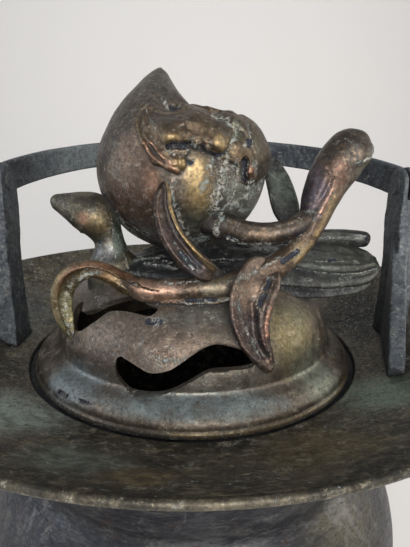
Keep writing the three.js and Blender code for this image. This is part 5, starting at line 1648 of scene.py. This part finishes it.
def post(side):
    x = HANDLE_SHIFT + side * POST_X
    voxel, fork_gap, tenon, rivet = 0.6, 4.82, 3.4, 6.4
    shapes = [across_x(resampled(post_outline(SEAT), 2.0), x, POST_DEPTH)]
    if side > 0:
        shapes.append(brace(x))
    thing = fused(solid("post", *shapes), voxel, relax=0)
    bore = tool_rod(PIN_RADIUS + 0.3, (x - 12, 0, PIVOT), (x + 12, 0, PIVOT))
    cut(thing, [below_plate(), fork_tool(x, fork_gap), bore])
    under = SEAT + plate_height(abs(x) - rivet) - SEAM
    stem = rod(tenon, (x, 0, under - 2.4), (x, 0, SEAT + 24))
    merge(thing, solid("tenon", stem, rod(rivet, (x, 0, under - 2.6), (x, 0, under - 0.2))))
    fused(thing, voxel, relax=2)
    return roughen(thing, [(14, 0.3, 2), (4, 0.22, 3), (1.5, 0.1, 2)], seed=97 + side, keep=off_pivot)


def off_pivot(points):
    """Leaves the fork and its bore smooth."""
    return smoothstep(np.hypot(points[:, 1], points[:, 2] - PIVOT), 9, 16)


def merge(thing, other):
    """Joins another object's mesh into thing."""
    work = bmesh.new()
    work.from_mesh(thing.data)
    work.from_mesh(other.data)
    work.to_mesh(thing.data)
    work.free()
    bpy.data.objects.remove(other)


def pivot_pin(side):
    x = HANDLE_SHIFT + side * POST_X
    cheek = POST_DEPTH / 2
    shapes = [rod(PIN_RADIUS, (x - cheek, 0, PIVOT), (x + cheek, 0, PIVOT), bevel=0.1)]
    for way in (-1, 1):
        ends = [(x + way * (cheek + reach), 0, PIVOT) for reach in (-0.6, 0.4)]
        shapes.append(rod(4.4, *ends, bevel=0.3))
    return solid("pivot_pin", *shapes)


def folded(thing):
    """Turns what is made upright about the pivot to its rest, folded back."""
    turn = Matrix.Translation((HANDLE_SHIFT * MM, 0, PIVOT * MM)) @ Matrix.Rotation(
        math.radians(REST_ANGLE - 90), 4, "X"
    )
    thing.data.transform(turn)
    return thing


def bail_handle():
    half, soft, pin_bore, swivel_bore, beyond = STRAP_WIDTH / 2, 0.7, 3.3, 3.35, 5
    section = [
        [BAIL_RADIUS + soft, -half], [STRAP_OUTER - soft, -half], [STRAP_OUTER, -half + soft],
        [STRAP_OUTER, half - soft], [STRAP_OUTER - soft, half], [BAIL_RADIUS + soft, half],
        [BAIL_RADIUS, half - soft], [BAIL_RADIUS, -half + soft],
    ]
    out, across = resampled(section, 1.5).T
    turns = np.linspace(0, math.pi, 260)
    shapes = [skin([np.c_[out * math.cos(turn), across, out * math.sin(turn)] for turn in turns])]
    tools = []
    for side in (-1, 1):
        ends = [(side * BAIL_RADIUS, 0, 0), (side * STRAP_OUTER, 0, 0)]
        shapes.append(rod(STRAP_EYE_RADIUS, *ends, 64, 0.5))
        ends = [(side * (BAIL_RADIUS - beyond), 0, 0), (side * (STRAP_OUTER + beyond), 0, 0)]
        tools.append(tool_rod(pin_bore, *ends))
    thing = fused(solid("bail_handle", *shapes), 0.55, relax=1)
    tools.append(tool_rod(swivel_bore, (0, 0, BAIL_RADIUS - beyond), (0, 0, STRAP_OUTER + beyond)))
    cut(thing, tools)
    roughen(thing, [(20, 0.25, 2), (4, 0.1, 3)], seed=103, keep=strap_middle)
    return folded(thing)


def strap_middle(points):
    """Leaves the strap's ends and the room for the swivel smooth."""
    return 0.8 * smoothstep(points[:, 2], 14, 26) * smoothstep(np.abs(points[:, 0]), 7, 12)


def swivel_eye():
    shank, head, deep = 3, 4.6, 1.8
    head_top = BAIL_RADIUS - SWIVEL_WASHER - 2 * SEAM
    collar = STRAP_OUTER + SEAM
    shapes = [
        ring_link([0, 0, SWIVEL_EYE], 4.75, [0, 1, 0], (1.25, 2.5, 20), 72),
        rod(shank, (0, 0, head_top - deep), (0, 0, SWIVEL_EYE - 3.8), bevel=0.2),
        rod(head, (0, 0, collar), (0, 0, collar + deep)),
        rod(head, (0, 0, head_top - deep), (0, 0, head_top)),
    ]
    return folded(fused(solid("swivel_eye", *shapes), 0.3, relax=1))


def swivel_washer():
    return folded(washer("swivel_washer", 3.35, 6, BAIL_RADIUS - SEAM, SWIVEL_WASHER))


def hanging_ring():
    rest, radius, wire = math.radians(REST_ANGLE), 16, 2.17
    centre = [HANDLE_SHIFT, SWIVEL_EYE * math.cos(rest), PIVOT + SWIVEL_EYE * math.sin(rest) - radius]
    return solid("hanging_ring", ring_link(centre, radius, [1, 0, 0], (wire, wire, 24), 120))


PIECES = [
    ("bowl", bowl, "root", "bowl_bronze", BOWL_PAINT),
    ("brim_plate", brim_plate, "root", "brim_bronze", PLATE_PAINT),
    ("ash_liner", ash_liner, "liner", "liner_copper", LINER_PAINT),
    ("lid_dome", lid_dome, "lid", "dome_bronze", DOME_PAINT),
    ("peach", peach, "lid", "peach_bronze", PEACH_PAINT),
    ("finial_stud", finial_stud, "lid", "handle_bronze", HANDLE_PAINT),
    ("finial_washer", finial_washer, "lid", "handle_bronze", HANDLE_PAINT),
    ("base_leaf", base_leaf, "lid", "dark_leaf_bronze", DARK_LEAF_PAINT),
    ("main_branch", main_branch, "lid", "branch_bronze", BRANCH_PAINT),
    ("peach_stalk", peach_stalk, "lid", "branch_bronze", STALK_PAINT),
    ("drape_leaf", drape_leaf, "lid", "leaf_bronze", DRAPE_PAINT),
    ("front_leaf", front_leaf, "lid", "leaf_bronze", LEAF_PAINT),
    ("hanging_leaf", hanging_leaf, "lid", "leaf_bronze", HANGING_PAINT),
    ("arched_leaf", arched_leaf, "lid", "leaf_bronze", ARCHED_PAINT),
    ("bud", bud, "lid", "branch_bronze", BUD_PAINT),
    ("rear_leaf", rear_leaf, "lid", "dark_leaf_bronze", DARK_LEAF_PAINT),
    ("curled_leaf", curled_leaf, "lid", "dark_leaf_bronze", DARK_LEAF_PAINT),
    ("left_post", lambda: post(-1), "root", "handle_bronze", HANDLE_PAINT),
    ("right_post", lambda: post(1), "root", "handle_bronze", HANDLE_PAINT),
    ("left_pivot_pin", lambda: pivot_pin(-1), "root", "handle_bronze", HANDLE_PAINT),
    ("right_pivot_pin", lambda: pivot_pin(1), "root", "handle_bronze", HANDLE_PAINT),
    ("bail_handle", bail_handle, "bail", "handle_bronze", HANDLE_PAINT),
    ("swivel_eye", swivel_eye, "swivel", "handle_bronze", HANDLE_PAINT),
    ("swivel_washer", swivel_washer, "bail", "handle_bronze", HANDLE_PAINT),
    ("hanging_ring", hanging_ring, "ring", "handle_bronze", HANDLE_PAINT),
]  # node, how it is built, body, slot, paint
for node, build, body, slot_name, paint in PIECES:
    piece(f"fine_{node}", build(), body, node, paint)


# Floor, light and camera


def backdrop():
    """Pale floor that curves up into a wall behind the object."""
    width, front, back, height, bend = 3000.0, -1600.0, 1100.0, 2200.0, 500.0
    profile = [[front, 0.0], [back - bend, 0.0]]
    for angle in np.linspace(0, math.pi / 2, 24)[1:]:
        profile.append([back - bend + bend * math.sin(angle), bend - bend * math.cos(angle)])
    profile.append([back, height])
    vertices, faces = [], []
    for y, z in profile:
        vertices += [[-width / 2, y, z - 0.1], [width / 2, y, z - 0.1]]
    for i in range(len(profile) - 1):
        faces.append((2 * i, 2 * i + 1, 2 * i + 3, 2 * i + 2))
    thing = mesh_object("backdrop", vertices, faces)
    material = bpy.data.materials.new("pale_backdrop")
    material.use_nodes = True
    shader = material.node_tree.nodes["Principled BSDF"]
    shader.inputs["Base Color"].default_value = srgb(214, 212, 210)
    shader.inputs["Roughness"].default_value = 0.9
    thing.data.materials.append(material)


def soft_light(name, place, target, size, power, colour):
    light = bpy.data.lights.new(name, "AREA")
    light.shape = "RECTANGLE"
    light.size, light.size_y = (s * MM for s in size)
    light.energy = power
    light.color = colour
    thing = bpy.data.objects.new(name, light)
    bpy.context.scene.collection.objects.link(thing)
    thing.location = Vector(place) * MM
    thing.rotation_euler = (Vector(target) * MM - thing.location).to_track_quat("-Z", "Y").to_euler()


def world_light(colour, strength):
    world = bpy.data.worlds.new("soft_room")
    world.use_nodes = True
    shade = world.node_tree.nodes["Background"]
    shade.inputs["Color"].default_value = colour
    shade.inputs["Strength"].default_value = strength
    bpy.context.scene.world = world


FOCAL_PIXELS, PHOTO_HEIGHT = 411.0, 547.0


def camera():
    """Camera at the photograph's place, in front of the axis and looking down."""
    pitch, yaw, roll = (math.radians(a) for a in (14.937, 1.544, 0.745))
    level_right = Vector((math.cos(yaw), -math.sin(yaw), 0))
    ahead = Vector((math.sin(yaw), math.cos(yaw), 0))
    forward = ahead * math.cos(pitch) - Vector((0, 0, math.sin(pitch)))
    level_up = ahead * math.sin(pitch) + Vector((0, 0, math.cos(pitch)))
    right = level_right * math.cos(roll) + level_up * math.sin(roll)
    up = level_up * math.cos(roll) - level_right * math.sin(roll)
    data = bpy.data.cameras.new("camera")
    data.sensor_fit = "VERTICAL"
    data.sensor_height = 36.0
    data.lens = FOCAL_PIXELS / PHOTO_HEIGHT * data.sensor_height
    data.clip_start = 0.01
    thing = bpy.data.objects.new("camera", data)
    turn = Matrix((right, up, -forward)).transposed().to_4x4()
    thing.matrix_world = Matrix.Translation(EYE * MM) @ turn
    bpy.context.scene.collection.objects.link(thing)
    bpy.context.scene.camera = thing


backdrop()
MIDDLE = (0, 0, 240)
WALL = (0, 1100, 350)
LIGHTS = [
    ("window", (120, -1000, 520), MIDDLE, (700, 600), 15, (1.0, 0.97, 0.93)),
    ("left_fill", (-900, -200, 500), MIDDLE, (500, 700), 4, (0.9, 0.95, 1.0)),
    ("right_fill", (900, -100, 450), MIDDLE, (500, 700), 5, (1.0, 0.96, 0.9)),
    ("wall_wash", (0, 250, 900), WALL, (1600, 400), 2.6, (1.0, 1.0, 1.0)),
]  # name, place, target, size, power, colour
for light in LIGHTS:
    soft_light(*light)
world_light((0.94, 0.96, 1.0, 1.0), 0.35)
camera()
bpy.context.scene.view_settings.view_transform = "Standard"
